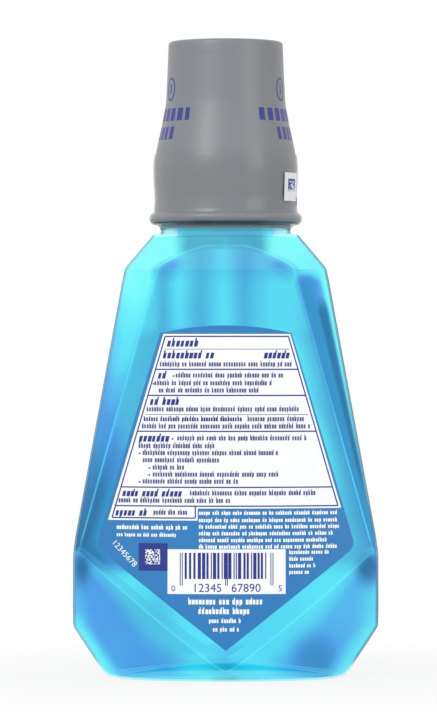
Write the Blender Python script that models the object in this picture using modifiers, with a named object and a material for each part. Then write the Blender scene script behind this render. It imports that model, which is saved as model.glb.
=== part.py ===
"""One litre mouthwash bottle: faceted bottle, its fill, a two-piece screw closure, a shrink band, two labels.

Metres, +Z up. The origin is the middle of the base. The ruled back label faces -Y, and +X is to its right.
"""

import math

import bmesh
import bpy

# Names of the collections
PARTS_NAME = "mouthwash_bottle"
CUTTERS_NAME = "mouthwash_bottle_cutters"

# Gaps that meshes keep
SEAT_GAP = 0.0003
MERGE_DISTANCE = 0.000001
SINK = 0.0004
CUT_OVERRUN = 0.002

# Bottle outline seen from the front: heights over the base and half widths from the axis
BASE_HALF_WIDTH = 0.0440
HEEL_LOW_HEIGHT = 0.0006
HEEL_LOW_HALF_WIDTH = 0.0468
HEEL_HEIGHT = 0.0022
HEEL_HALF_WIDTH = 0.0487
UNDERCUT_HEIGHT = 0.0195
WIDEST_HALF_WIDTH = 0.0602
CORNER_HEIGHT = 0.0500
SHOULDER_HEIGHT = 0.1605
SHOULDER_RADIUS = 0.0399
SHOULDER_RISE = 0.0133
COLLAR_FOOT_RADIUS = 0.0286

# Front and back panels: half depth at the middle and bow radius, at the base and at the shoulder
PANEL_HALF_DEPTH_LOW = 0.0408
PANEL_HALF_DEPTH_HIGH = 0.0329
PANEL_BOW_LOW = 0.136
PANEL_BOW_HIGH = 0.087
HEEL_ROUND = 0.0080

# Ridges round the panels: an arch, two straight sides and a V that ends in a rounded tip
CORNER_INSET = 0.0020
V_TIP_HEIGHT = 0.0022
V_TIP_ROUND = 0.0026
V_BOW = 0.0009
RIDGE_WIDTH_HIGH = 0.0024
RIDGE_WIDTH_LOW = 0.0008
RIDGE_TILT_SHARE = 0.25

# Lower facets, which run from the V to a rounded edge of each side
FACET_BOW_SHARE = 0.015
EDGE_ROUND = 0.0075
UNDERCUT_REACH = 0.0070
SIDE_SLOPE_SHARE = 0.5

# How far a wall's inner skin draws in its corners, as shares of the wall
V_TIP_DRAW_SHARE = 0.45
CORNER_DRAW_SHARE = 0.9
EDGE_DRAW_SHARE = 0.43

# Base: a flat standing ring round a shallow push-up
LAND_WIDTH = 0.0035
PUSH_UP = 0.0045

# Walls of the bottle, and how far its fill stays under the shoulder's edge
WALL = 0.0007
FILL_DROP = 0.0005

# Neck: collar, plain wall, bore and a two-start thread
COLLAR_RADIUS = 0.0255
COLLAR_FILLET = 0.0013
COLLAR_RISE = 0.0037
COLLAR_EDGE = 0.0003
NECK_RADIUS = 0.02125
NECK_LENGTH = 0.0185
NECK_FLARE = 0.0024
BORE_RADIUS = 0.0190
RIM_EDGE = 0.0004
THREAD_DEPTH = 0.0011
THREAD_PITCH = 0.004233
THREAD_STARTS = 2
THREAD_FOOT_WIDTH = 0.0022
THREAD_CREST_WIDTH = 0.0010
THREAD_CLEARANCE = 0.00035
THREAD_LOW_SHARE = 0.28
THREAD_TURN_SHARE = 0.80

# Sealing ring, between the rim and the closure
SEAL_THICKNESS = 0.0012
SEAL_INNER_RADIUS = 0.0193
SEAL_OUTER_RADIUS = 0.0222

# Dosing cup: the threaded inside of the closure, and the measure when it is turned over
SKIRT_WALL = 0.0013
SKIRT_FOOT_CLEARANCE = 0.0015
CUP_DEPTH = 0.0492
CUP_MOUTH_RADIUS = 0.0194
CUP_END_RADIUS = 0.0186
CUP_WALL = 0.0010
CUP_END_WALL = 0.0012
CUP_SHOULDER = 0.0016
CUP_EDGE = 0.0006
DOSE_LINE_DEPTH = 0.0178
DOSE_LINE_WIDTH = 0.0005
DOSE_LINE_STEP = 0.0002
FLANGE_THICKNESS = 0.0012
FLANGE_REACH = 0.0007

# Outer cap shell
CAP_FOOT_CLEARANCE = 0.0007
CAP_TOP_RADIUS = 0.0225
CAP_EDGE_ROUND = 0.0015
CAP_BODY_RADIUS = 0.0281
CAP_WAIST_RADIUS = 0.0276
CAP_WALL = 0.0015
BEAD_RADIUS = 0.0297
BEAD_ROUND = 0.0020
SNAP_CLEARANCE = 0.0004
CAP_FLARE_SHARES = (
    (0.10, 0.04), (0.21, 0.11), (0.32, 0.18), (0.375, 0.27), (0.43, 0.40), (0.54, 0.71), (0.60, 0.88),
)
CAP_BODY_SHARE = 0.70
CAP_WAIST_SHARE = 0.85
CAP_BEAD_TOP_SHARE = 0.915

# Shrink band over the lower half of the cap, tucked in round the collar
FILM = 0.0002
BAND_TOP_SHARE = 0.62
BAND_TUCK = 0.0008
BAND_SKIRT = 0.0009

# Labels: a shield with a crowned top, slanted sides and a V foot
LABEL_THICKNESS = 0.0002
LABEL_TIP_HEIGHT = 0.0123
LABEL_CORNER_HEIGHT = 0.0520
LABEL_TOP_HEIGHT = 0.1349
LABEL_CROWN = 0.0030
LABEL_TOP_HALF_WIDTH = 0.0255
LABEL_HALF_WIDTH = 0.0503
LABEL_CORNER_ROUND = 0.0060

# Counts of facets
PANEL_STEPS = 4
FACET_STEPS = 3
FACET_EDGE_STEPS = 3
SIDE_FACE_STEPS = 2
SIDE_STEPS = FACET_STEPS + FACET_EDGE_STEPS + SIDE_FACE_STEPS
ARCH_STEPS = 4
ROUND_STEPS = 36
EDGE_STEPS = 3
BEAD_STEPS = 4
THREAD_STEPS_PER_TURN = 24
LABEL_STEPS = 12
LABEL_ARC_STEPS = 5
LOW_ROW_SHARES = (0.2, 0.42, 0.7)
FACET_ROW_SHARES = (0.25, 0.5, 0.75)
SIDE_ROW_SHARES = (0.25, 0.5, 0.75)
BASE_ROW_SHARES = (0.0, 0.4, 0.7, 1.0)

# Colours from the photograph, as linear red, green, blue
PET_COLOUR = (0.10, 0.56, 0.85)
FILL_COLOUR = (0.04, 0.45, 0.80)
CAP_COLOUR = (0.28, 0.30, 0.31)
CUP_COLOUR = (0.80, 0.82, 0.84)
SEAL_COLOUR = (0.85, 0.85, 0.83)
FILM_COLOUR = (0.85, 0.87, 0.90)
LABEL_COLOUR = (0.05, 0.22, 0.53)

# Heights that follow from the sizes above
collar_foot = SHOULDER_HEIGHT + SHOULDER_RISE
rim_height = collar_foot + COLLAR_RISE + NECK_LENGTH
fill_level = SHOULDER_HEIGHT - FILL_DROP
thread_radius = NECK_RADIUS + THREAD_DEPTH
thread_lead = THREAD_PITCH * THREAD_STARTS
skirt_radius = thread_radius + THREAD_CLEARANCE
skirt_foot = SKIRT_FOOT_CLEARANCE - NECK_LENGTH
seal_seat = SEAT_GAP + SEAL_THICKNESS + SEAT_GAP
cup_end = seal_seat + CUP_DEPTH
cup_top = cup_end + CUP_END_WALL
cap_top = cup_top + SEAT_GAP + CAP_WALL
cap_foot = CAP_FOOT_CLEARANCE - NECK_LENGTH
cap_height = cap_top - cap_foot
bead_height = cap_foot + BEAD_ROUND


def clear_scene():
    """Removes what the scene holds, and makes the two collections."""
    for obj in list(bpy.data.objects):
        bpy.data.objects.remove(obj, do_unlink=True)
    made = []
    for name in (PARTS_NAME, CUTTERS_NAME):
        collection = bpy.data.collections.new(name)
        bpy.context.scene.collection.children.link(collection)
        made.append(collection)
    return made


def material(name, colour, roughness, alpha=1.0):
    """A Principled material in one of the object's own colours."""
    made = bpy.data.materials.new(name)
    made.use_nodes = True
    shader = made.node_tree.nodes["Principled BSDF"]
    shader.inputs["Base Color"].default_value = (*colour, 1.0)
    shader.inputs["Roughness"].default_value = roughness
    shader.inputs["Alpha"].default_value = alpha
    return made


def add_object(name, bm, collection, finish=None, height=0.0, carrier=None):
    """Turns a bmesh into an object of the collection, on its carrier where it has one."""
    mesh = bpy.data.meshes.new(name)
    bm.to_mesh(mesh)
    bm.free()
    obj = bpy.data.objects.new(name, mesh)
    obj.location.z = height
    obj.parent = carrier
    collection.objects.link(obj)
    if finish:
        mesh.materials.append(finish)
        mesh.shade_smooth()
        mesh.set_sharp_from_angle(angle=math.radians(30))
    else:
        obj.hide_render = True
        obj.display_type = "WIRE"
    return obj


def loft(rows, closed_ends=False):
    """Skins equal rings of points. Points that meet are merged, so a ring may shrink to a point.

    Each patch is folded along the diagonal that stands further out, so a wall's two skins fold alike.
    """
    bm = bmesh.new()
    rings = [[bm.verts.new(point) for point in row] for row in rows]
    for low, high in zip(rings, rings[1:]):
        for i in range(len(low)):
            a, b, c, d = low[i], low[(i + 1) % len(low)], high[(i + 1) % len(low)], high[i]
            if (a.co + c.co).xy.length > (b.co + d.co).xy.length:
                a, b, c, d = b, c, d, a
            bm.faces.new((a, b, d))
            bm.faces.new((b, c, d))
    if closed_ends:
        bm.faces.new(reversed(rings[0]))
        bm.faces.new(rings[-1])
    bmesh.ops.remove_doubles(bm, verts=bm.verts, dist=MERGE_DISTANCE)
    bmesh.ops.recalc_face_normals(bm, faces=bm.faces)
    return bm


def turned(name, profile, collection, finish, height, carrier, closed=False):
    """A solid of revolution from a profile in X and Z that runs down its outer side."""
    bm = bmesh.new()
    points = [bm.verts.new((radius, 0.0, z)) for radius, z in profile]
    ends = points[1:] + points[:1] if closed else points[1:]
    for a, b in zip(points, ends):
        bm.edges.new((a, b))
    obj = add_object(name, bm, collection, finish, height, carrier)
    screw = obj.modifiers.new("turn", "SCREW")
    screw.steps = ROUND_STEPS
    screw.render_steps = ROUND_STEPS
    screw.use_merge_vertices = True
    screw.merge_threshold = MERGE_DISTANCE
    return obj


def arc_points(centre, radius, start, stop, steps):
    """Points on an arc in X and Z, from one angle in degrees to another."""
    angles = [math.radians(start + (stop - start) * i / steps) for i in range(steps + 1)]
    return [(centre[0] + radius * math.cos(a), centre[1] + radius * math.sin(a)) for a in angles]


def between(low, high, share):
    return low + (high - low) * share


# The body's sections

def panel_half_depth(z, inset):
    """Half depth at the middle of a panel, with the rounded heel under it."""
    depth = between(PANEL_HALF_DEPTH_LOW, PANEL_HALF_DEPTH_HIGH, z / SHOULDER_HEIGHT)
    if z >= HEEL_ROUND:
        return depth - inset
    reach = (HEEL_ROUND - inset) ** 2 - (HEEL_ROUND - z) ** 2
    return depth - HEEL_ROUND + math.sqrt(max(0.0, reach))


def panel_bow(z, inset):
    return between(PANEL_BOW_LOW, PANEL_BOW_HIGH, z / SHOULDER_HEIGHT) - inset


def panel_depth_at(x, z, inset):
    bow = panel_bow(z, inset)
    return panel_half_depth(z, inset) - bow + math.sqrt(bow * bow - x * x)


# Depth of the four corners, where the panels, the sides and the lower facets meet
corner_reach = panel_depth_at(WIDEST_HALF_WIDTH - CORNER_INSET, CORNER_HEIGHT, 0.0)


def half_width(z, inset):
    """Half width of the outline: the nearest of the lines along it, each moved in by the inset."""
    outline = (
        (0.0, BASE_HALF_WIDTH), (HEEL_LOW_HEIGHT, HEEL_LOW_HALF_WIDTH), (HEEL_HEIGHT, HEEL_HALF_WIDTH),
        (UNDERCUT_HEIGHT, WIDEST_HALF_WIDTH), (CORNER_HEIGHT, WIDEST_HALF_WIDTH),
        (SHOULDER_HEIGHT, SHOULDER_RADIUS), (collar_foot, COLLAR_FOOT_RADIUS),
    )
    widths = []
    for (low, low_width), (high, high_width) in zip(outline, outline[1:]):
        slope = (high_width - low_width) / (high - low)
        widths.append(low_width + slope * (z - low) - inset * math.hypot(1.0, slope))
    return min(widths)


def arch_height(inset):
    """Height at which the shoulder cone meets the middle of a panel."""
    low, high = SHOULDER_HEIGHT, collar_foot
    for _ in range(60):
        middle = (low + high) / 2
        if half_width(middle, inset) > panel_half_depth(middle, inset):
            low = middle
        else:
            high = middle
    return low


def arch_ridge(z, inset, drop):
    """Half width of the panel where the shoulder's circle crosses it, with the ridge's drop."""
    radius = half_width(z, inset)
    bow = panel_bow(z, inset)
    centre = panel_half_depth(z, inset) - drop - bow
    depth = (radius ** 2 - bow ** 2 + centre ** 2) / (2 * centre)
    return math.sqrt(max(0.0, radius ** 2 - depth ** 2))


def v_half_width(z, inset):
    """Half width of the panel between the ridges of its V foot, which end in a rounded tip."""
    rise = CORNER_HEIGHT - V_TIP_HEIGHT
    bow = 4 * V_BOW
    share = (bow - rise + math.sqrt((rise - bow) ** 2 + 4 * bow * max(0.0, z - V_TIP_HEIGHT))) / (2 * bow)
    draw = inset * between(V_TIP_DRAW_SHARE, CORNER_DRAW_SHARE, z / CORNER_HEIGHT)
    width = (WIDEST_HALF_WIDTH - CORNER_INSET) * share - draw
    return math.sqrt(max(0.0, width * abs(width) - V_TIP_ROUND ** 2))


def ridge_at(z, inset):
    """Half width of the panel, the ridge's width and its drop, at a height."""
    ridge_width = RIDGE_WIDTH_LOW
    if z > SHOULDER_HEIGHT:
        top = arch_height(inset)
        taper = math.sqrt(max(0.0, (top - z) / (top - SHOULDER_HEIGHT)))
        ridge_width = RIDGE_WIDTH_HIGH * taper
        outer = arch_ridge(z, inset, ridge_width * RIDGE_TILT_SHARE) if taper else 0.0
    elif z > CORNER_HEIGHT:
        share = (z - CORNER_HEIGHT) / (SHOULDER_HEIGHT - CORNER_HEIGHT)
        ridge_width = between(RIDGE_WIDTH_LOW, RIDGE_WIDTH_HIGH, share)
        arch_end = arch_ridge(SHOULDER_HEIGHT, inset, RIDGE_WIDTH_HIGH * RIDGE_TILT_SHARE)
        outer = between(v_half_width(CORNER_HEIGHT, inset), arch_end, share)
    else:
        outer = v_half_width(z, inset)
    ridge_width = min(ridge_width, outer / 2)
    return outer, ridge_width, ridge_width * RIDGE_TILT_SHARE


def bent(start, corner, end, share):
    """A point of the curve that leaves the start towards the corner and reaches the end from it."""
    weights = ((1 - share) ** 2, 2 * share * (1 - share), share ** 2)
    return tuple(sum(w * p[axis] for w, p in zip(weights, (start, corner, end))) for axis in (0, 1))


def side_x(depth, width):
    """Half width of a side at a depth. The sides are bowed."""
    return width - CORNER_INSET * (depth / corner_reach) ** 2


def crowded(i):
    """Place along the side, at the corners' height, of a point that comes up from a facet or its edge."""
    bend = EDGE_ROUND / corner_reach
    past = i - FACET_STEPS - FACET_EDGE_STEPS
    if past > 0:
        return between(bend, 1.0, past / SIDE_FACE_STEPS)
    return bend * (max(0, i - FACET_STEPS) / FACET_EDGE_STEPS) ** 2


def upper_side(z, start, width):
    """Points from a side's ridge to its middle, gently bowed at the corners and circular at the shoulder."""
    x, y = start
    share = (z - CORNER_HEIGHT) / (SHOULDER_HEIGHT - CORNER_HEIGHT)
    slope = between(-y / (width - x) * SIDE_SLOPE_SHARE, x / -y, share)
    meet = y + slope * (width - x)
    turn = math.pi / 2 - math.atan(slope)
    pull = 4 / 3 * math.tan(turn / 4) / math.tan(turn / 2)
    controls = (start, (between(x, width, pull), between(y, meet, pull)), (width, meet * pull), (width, 0.0))
    points = []
    for i in range(SIDE_STEPS + 1):
        t = between(crowded(i), i / SIDE_STEPS, share)
        weights = ((1 - t) ** 3, 3 * t * (1 - t) ** 2, 3 * t * t * (1 - t), t ** 3)
        points.append(tuple(sum(w * c[axis] for w, c in zip(weights, controls)) for axis in (0, 1)))
    return points


def lower_side(z, inset, start, width):
    """Points from the V to the middle of a side: a facet, its rounded edge and what is left of the side.

    Under the undercut's height they ease into a quarter of an oval.
    """
    share = max(0.0, (z - UNDERCUT_HEIGHT) / (CORNER_HEIGHT - UNDERCUT_HEIGHT))
    reach = min(-start[1], between(UNDERCUT_REACH, corner_reach, share) - inset * EDGE_DRAW_SHARE)
    edge = (side_x(reach, width), -reach)
    length = math.dist(start, edge)
    foot = 1 - min(EDGE_ROUND / length, 0.5)
    facet = []
    for i in range(FACET_STEPS + 1):
        t = foot * i / FACET_STEPS
        out = 4 * t * (1 - t) * FACET_BOW_SHARE
        x = between(start[0], edge[0], t) + out * (edge[1] - start[1])
        y = between(start[1], edge[1], t) - out * (edge[0] - start[0])
        facet.append((x, y))
    top = reach - min(EDGE_ROUND, reach)
    points = facet[:-1]
    for i in range(FACET_EDGE_STEPS):
        points.append(bent(facet[-1], edge, (side_x(top, width), -top), i / FACET_EDGE_STEPS))
    for i in range(SIDE_FACE_STEPS + 1):
        depth = top * (1 - i / SIDE_FACE_STEPS)
        points.append((side_x(depth, width), -depth))
    oval = [bent(start, (width, start[1]), (width, 0.0), i / SIDE_STEPS) for i in range(SIDE_STEPS + 1)]
    low = min(1.0, z / UNDERCUT_HEIGHT)
    return [tuple(between(a, b, low) for a, b in zip(*pair)) for pair in zip(oval, points)]


def quadrant(z, inset):
    """Points of a section's quarter, from the middle of the back panel to the middle of the right side."""
    outer, ridge_width, drop = ridge_at(z, inset)
    inner = outer - ridge_width
    points = []
    for i in range(PANEL_STEPS + 1):
        x = inner * i / PANEL_STEPS
        points.append((x, -panel_depth_at(x, z, inset)))
    width = half_width(z, inset)
    if z >= SHOULDER_HEIGHT:
        start = math.acos(min(1.0, outer / width))
        angles = [start * (1 - i / SIDE_STEPS) for i in range(SIDE_STEPS + 1)]
        if z >= arch_height(inset):
            points = [(0.0, -width)] * (PANEL_STEPS + 1)
        return points + [(width * math.cos(a), -width * math.sin(a)) for a in angles]
    start = (outer, drop - panel_depth_at(outer, z, inset))
    if z >= CORNER_HEIGHT:
        return points + upper_side(z, start, width)
    return points + lower_side(z, inset, start, width)


def ring(points, z):
    """A whole ring from a quarter of it, by mirroring over both planes."""
    right = points + [(x, -y) for x, y in reversed(points[:-1])]
    left = [(-x, y) for x, y in reversed(right[1:-1])]
    return [(x, y, z) for x, y in right + left]


def section(z, inset):
    return ring(quadrant(z, inset), z)


def circle(radius, z):
    """A ring with as many points as a section, which all meet over the panels' middles."""
    angles = [math.pi / 2 * i / SIDE_STEPS for i in range(SIDE_STEPS + 1)]
    arc = [(radius * math.sin(a), -radius * math.cos(a)) for a in angles]
    return ring([arc[0]] * (PANEL_STEPS + 1) + arc, z)


def base_rows(inset):
    """Rings from the middle of the base to its standing ring."""
    outer = section(inset, inset)
    width = max(x for x, _, _ in outer)
    depth = max(y for _, y, _ in outer)
    land = (1 - LAND_WIDTH / width, 1 - LAND_WIDTH / depth)
    rows = []
    for share in BASE_ROW_SHARES:
        z = inset + PUSH_UP * (1 - share ** 1.5)
        rows.append([(x * land[0] * share, y * land[1] * share, z) for x, y, _ in outer])
    return rows + [outer]


def body_rows(inset, top):
    """Rings of the body's surface, moved in by the inset, from the middle of its base up to a height."""
    arch = arch_height(inset)
    tip = V_TIP_HEIGHT + V_TIP_ROUND
    heights = [HEEL_LOW_HEIGHT, HEEL_HEIGHT, tip]
    heights += [between(tip, UNDERCUT_HEIGHT, share) for share in LOW_ROW_SHARES]
    heights += [UNDERCUT_HEIGHT]
    heights += [between(UNDERCUT_HEIGHT, CORNER_HEIGHT, share) for share in FACET_ROW_SHARES]
    heights += [CORNER_HEIGHT]
    heights += [between(CORNER_HEIGHT, SHOULDER_HEIGHT, share) for share in SIDE_ROW_SHARES]
    heights += [arch - (arch - SHOULDER_HEIGHT) * (1 - i / ARCH_STEPS) ** 2 for i in range(ARCH_STEPS + 1)]
    kept = [z for z in sorted(heights) if inset + SEAT_GAP < z < top - SEAT_GAP]
    return base_rows(inset) + [section(z, inset) for z in kept + [top]]


def neck_rows():
    """Rings up the outside of the neck, over its rim, down the bore and out under the shoulder."""
    collar_top = collar_foot + COLLAR_RISE
    rows = []
    for i in range(1, EDGE_STEPS + 1):
        a = math.pi / 2 * i / EDGE_STEPS
        radius = between(COLLAR_FOOT_RADIUS, COLLAR_RADIUS, math.sin(a))
        rows.append(circle(radius, collar_foot + COLLAR_FILLET * (1 - math.cos(a))))
    rows.append(circle(COLLAR_RADIUS, collar_top - COLLAR_EDGE))
    rows.append(circle(COLLAR_RADIUS - COLLAR_EDGE, collar_top))
    rows.append(circle(NECK_RADIUS + COLLAR_EDGE, collar_top))
    rows.append(circle(NECK_RADIUS, collar_top + COLLAR_EDGE))
    rows.append(circle(NECK_RADIUS, rim_height - RIM_EDGE))
    rows.append(circle(NECK_RADIUS - RIM_EDGE, rim_height))
    rows.append(circle(BORE_RADIUS + RIM_EDGE, rim_height))
    rows.append(circle(BORE_RADIUS, rim_height - RIM_EDGE))
    roof = collar_foot - WALL - COLLAR_EDGE
    roof_radius = half_width(roof, WALL)
    for i in range(EDGE_STEPS):
        a = math.pi / 2 * i / EDGE_STEPS
        radius = between(roof_radius, BORE_RADIUS, math.cos(a))
        rows.append(circle(radius, roof + (NECK_FLARE + COLLAR_EDGE) * (1 - math.sin(a))))
    return rows, roof


# Threads and cuts

def thread_ridge(name, foot_radius, crest_radius, low, turns, start_angle, cutters, height):
    """One start of a thread: a ridge along a helix, which fades into the wall at both ends."""
    steps = round(turns * THREAD_STEPS_PER_TURN)
    outward = math.copysign(1.0, crest_radius - foot_radius)
    rows = []
    for i in range(steps + 1):
        angle = start_angle + math.tau * turns * i / steps
        middle = low + thread_lead * turns * i / steps
        fade = 0.0 if i in (0, steps) else 1.0
        foot = foot_radius - outward * SINK
        crest = between(foot + outward * SINK / 2, crest_radius, fade)
        corners = (
            (foot, -THREAD_FOOT_WIDTH / 2), (crest, -THREAD_CREST_WIDTH / 2),
            (crest, THREAD_CREST_WIDTH / 2), (foot, THREAD_FOOT_WIDTH / 2),
        )
        rows.append([(r * math.cos(angle), r * math.sin(angle), middle + z) for r, z in corners])
    return add_object(name, loft(rows, closed_ends=True), cutters, height=height)


def combine(obj, tool, operation):
    """Adds a Boolean modifier that joins, cuts or keeps with the tool."""
    modifier = obj.modifiers.new(tool.name, "BOOLEAN")
    modifier.operation = operation
    modifier.solver = "EXACT"
    modifier.object = tool


# The pieces

def make_bottle(parts, cutters):
    """The blow-moulded bottle with its threaded neck: one skin over the outside, the rim and the inside."""
    neck, roof = neck_rows()
    rows = body_rows(0.0, collar_foot) + neck + list(reversed(body_rows(WALL, roof)))
    obj = add_object("bottle", loft(rows), parts, material("blue_pet", PET_COLOUR, 0.08, 0.35))
    low = rim_height - NECK_LENGTH * (1 - THREAD_LOW_SHARE)
    for start in range(THREAD_STARTS):
        angle = math.tau * start / THREAD_STARTS
        ridge = thread_ridge(
            f"neck_thread_{start}", NECK_RADIUS, thread_radius, low, THREAD_TURN_SHARE, angle, cutters, 0.0
        )
        combine(obj, ridge, "UNION")
    return obj


def make_fill(parts):
    """The mouthwash, which fills the body up to its level."""
    rows = body_rows(WALL + SEAT_GAP, fill_level)
    rows.append([(0.0, 0.0, fill_level)] * len(rows[-1]))
    return add_object("mouthwash", loft(rows), parts, material("blue_liquid", FILL_COLOUR, 0.02, 0.6))


def make_sealing_ring(parts, carrier):
    """The loose sealing ring that the closure presses on the rim."""
    low = SEAT_GAP
    high = SEAT_GAP + SEAL_THICKNESS
    outer = [(SEAL_OUTER_RADIUS, high), (SEAL_OUTER_RADIUS, low)]
    profile = outer + [(SEAL_INNER_RADIUS, low), (SEAL_INNER_RADIUS, high)]
    finish = material("seal_foam", SEAL_COLOUR, 0.6)
    return turned("sealing_ring", profile, parts, finish, rim_height, carrier, closed=True)


def make_dosing_cup(parts, cutters, carrier):
    """The threaded cup inside the closure, with a step round its wall at the dose line."""
    skirt_outer = skirt_radius + SKIRT_WALL
    shoulder = seal_seat + CUP_SHOULDER
    flange_radius = CAP_BODY_RADIUS - CAP_WALL + FLANGE_REACH - SNAP_CLEARANCE
    flange_low = bead_height - FLANGE_THICKNESS / 2
    line = cup_end - DOSE_LINE_DEPTH
    line_radius = between(CUP_END_RADIUS, CUP_MOUTH_RADIUS, DOSE_LINE_DEPTH / CUP_DEPTH)
    profile = (
        (0.0, cup_top), (CUP_END_RADIUS + CUP_WALL - CUP_EDGE, cup_top),
        (CUP_END_RADIUS + CUP_WALL, cup_top - CUP_EDGE), (CUP_MOUTH_RADIUS + CUP_WALL, shoulder + CUP_EDGE),
        (CUP_MOUTH_RADIUS + CUP_WALL + CUP_EDGE, shoulder), (skirt_outer - CUP_EDGE, shoulder),
        (skirt_outer, shoulder - CUP_EDGE), (skirt_outer, flange_low + FLANGE_THICKNESS),
        (flange_radius, flange_low + FLANGE_THICKNESS), (flange_radius, flange_low), (skirt_outer, flange_low),
        (skirt_outer, skirt_foot), (skirt_radius, skirt_foot),
        (skirt_radius, seal_seat), (CUP_MOUTH_RADIUS, seal_seat),
        (line_radius + DOSE_LINE_STEP / 2, line - DOSE_LINE_WIDTH),
        (line_radius - DOSE_LINE_STEP / 2, line), (CUP_END_RADIUS, cup_end - CUP_EDGE),
        (CUP_END_RADIUS - CUP_EDGE, cup_end), (0.0, cup_end),
    )
    obj = turned("dosing_cup", profile, parts, material("natural_pp", CUP_COLOUR, 0.3), rim_height, carrier)
    crest = NECK_RADIUS + THREAD_CLEARANCE
    low = THREAD_PITCH / 2 - NECK_LENGTH * (1 - THREAD_LOW_SHARE)
    for start in range(THREAD_STARTS):
        angle = math.tau * start / THREAD_STARTS
        ridge = thread_ridge(
            f"cup_thread_{start}", skirt_radius, crest, low, THREAD_TURN_SHARE, angle, cutters, rim_height
        )
        combine(obj, ridge, "UNION")
    return obj


def cap_outline():
    """The outer side of the cap from its top edge to the foot of its bead."""
    points = [(0.0, cap_top)]
    centre = (CAP_TOP_RADIUS - CAP_EDGE_ROUND, cap_top - CAP_EDGE_ROUND)
    points += arc_points(centre, CAP_EDGE_ROUND, 90, 0, EDGE_STEPS)
    for down, out in CAP_FLARE_SHARES:
        points.append((between(CAP_TOP_RADIUS, CAP_BODY_RADIUS, out), cap_top - cap_height * down))
    points.append((CAP_BODY_RADIUS, cap_top - cap_height * CAP_BODY_SHARE))
    points.append((CAP_WAIST_RADIUS, cap_top - cap_height * CAP_WAIST_SHARE))
    bead_top_radius = (CAP_WAIST_RADIUS + CAP_BODY_RADIUS) / 2
    points.append((bead_top_radius, cap_top - cap_height * CAP_BEAD_TOP_SHARE))
    points += arc_points((BEAD_RADIUS - BEAD_ROUND, bead_height), BEAD_ROUND, 70, -80, BEAD_STEPS)
    return points


def make_cap_shell(parts, carrier):
    """The grey outer shell: flared, waisted, with a bead round its foot and a snap groove inside."""
    inner_radius = CAP_WAIST_RADIUS - CAP_WALL
    groove_radius = CAP_BODY_RADIUS - CAP_WALL + FLANGE_REACH
    groove_half = FLANGE_THICKNESS / 2 + SNAP_CLEARANCE
    outside = cap_outline()
    inside = [
        (inner_radius, cap_foot), (inner_radius, bead_height - groove_half),
        (groove_radius, bead_height - groove_half), (groove_radius, bead_height + groove_half),
        (inner_radius, bead_height + groove_half + SNAP_CLEARANCE),
        (inner_radius, cap_top - cap_height * CAP_BODY_SHARE),
    ]
    for down, out in reversed(CAP_FLARE_SHARES[::2]):
        radius = between(CAP_TOP_RADIUS, CAP_BODY_RADIUS, out) - CAP_WALL
        inside.append((min(radius, inner_radius), cap_top - cap_height * down))
    inside.append((CAP_TOP_RADIUS - CAP_WALL, cap_top - CAP_WALL))
    inside.append((0.0, cap_top - CAP_WALL))
    finish = material("grey_pp", CAP_COLOUR, 0.3)
    return turned("cap_shell", outside + inside, parts, finish, rim_height, carrier)


def moved_out(points, distance):
    """A profile moved square to itself, away from the axis side."""
    moved = []
    for i, (x, z) in enumerate(points):
        before = points[max(0, i - 1)]
        after = points[min(len(points) - 1, i + 1)]
        run = (after[0] - before[0], after[1] - before[1])
        length = math.hypot(*run)
        moved.append((x - run[1] / length * distance, z + run[0] / length * distance))
    return moved


def make_shrink_band(parts, carrier):
    """The clear band shrunk over the cap's lower half and tucked in over the collar."""
    band_top = cap_top - cap_height * BAND_TOP_SHARE
    lower = [point for point in cap_outline() if point[1] < band_top]
    radius = between(CAP_TOP_RADIUS, CAP_BODY_RADIUS, CAP_FLARE_SHARES[-1][1])
    past = (BAND_TOP_SHARE - CAP_FLARE_SHARES[-1][0]) / (CAP_BODY_SHARE - CAP_FLARE_SHARES[-1][0])
    inner = moved_out([(between(radius, CAP_BODY_RADIUS, past), band_top)] + lower, SEAT_GAP)
    tuck_height = cap_foot - SEAT_GAP
    skirt = COLLAR_RADIUS + SEAT_GAP
    inner.append((skirt + BAND_TUCK, tuck_height))
    inner.append((skirt, tuck_height - SEAT_GAP))
    inner.append((skirt, tuck_height - SEAT_GAP - BAND_SKIRT))
    finish = material("clear_film", FILM_COLOUR, 0.1, 0.25)
    obj = turned("shrink_band", inner, parts, finish, rim_height, carrier)
    film = obj.modifiers.new("film", "SOLIDIFY")
    film.thickness = FILM
    film.offset = 1.0
    film.use_even_offset = True
    return obj


def label_outline():
    """The shield's outline in X and Z: a crowned top, slanted sides, rounded corners and a V foot."""
    run = LABEL_HALF_WIDTH - LABEL_TOP_HALF_WIDTH
    slant = math.degrees(math.atan2(run, LABEL_TOP_HEIGHT - LABEL_CORNER_HEIGHT))
    fall = math.degrees(math.atan2(LABEL_CORNER_HEIGHT - LABEL_TIP_HEIGHT, LABEL_HALF_WIDTH))
    half_turn = math.radians(90 - fall + slant) / 2
    reach = LABEL_CORNER_ROUND / math.cos(half_turn)
    middle_angle = math.radians(between(slant, fall - 90, 0.5))
    centre = (
        LABEL_HALF_WIDTH - reach * math.cos(middle_angle),
        LABEL_CORNER_HEIGHT - reach * math.sin(middle_angle),
    )
    right = []
    for i in range(LABEL_ARC_STEPS):
        share = i / LABEL_ARC_STEPS
        right.append((LABEL_TOP_HALF_WIDTH * share, LABEL_TOP_HEIGHT + LABEL_CROWN * (1 - share ** 2)))
    right.append((LABEL_TOP_HALF_WIDTH, LABEL_TOP_HEIGHT))
    right += arc_points(centre, LABEL_CORNER_ROUND, slant, fall - 90, LABEL_ARC_STEPS)
    right.append((0.0, LABEL_TIP_HEIGHT))
    return right + [(-x, z) for x, z in reversed(right[1:-1])]


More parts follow.
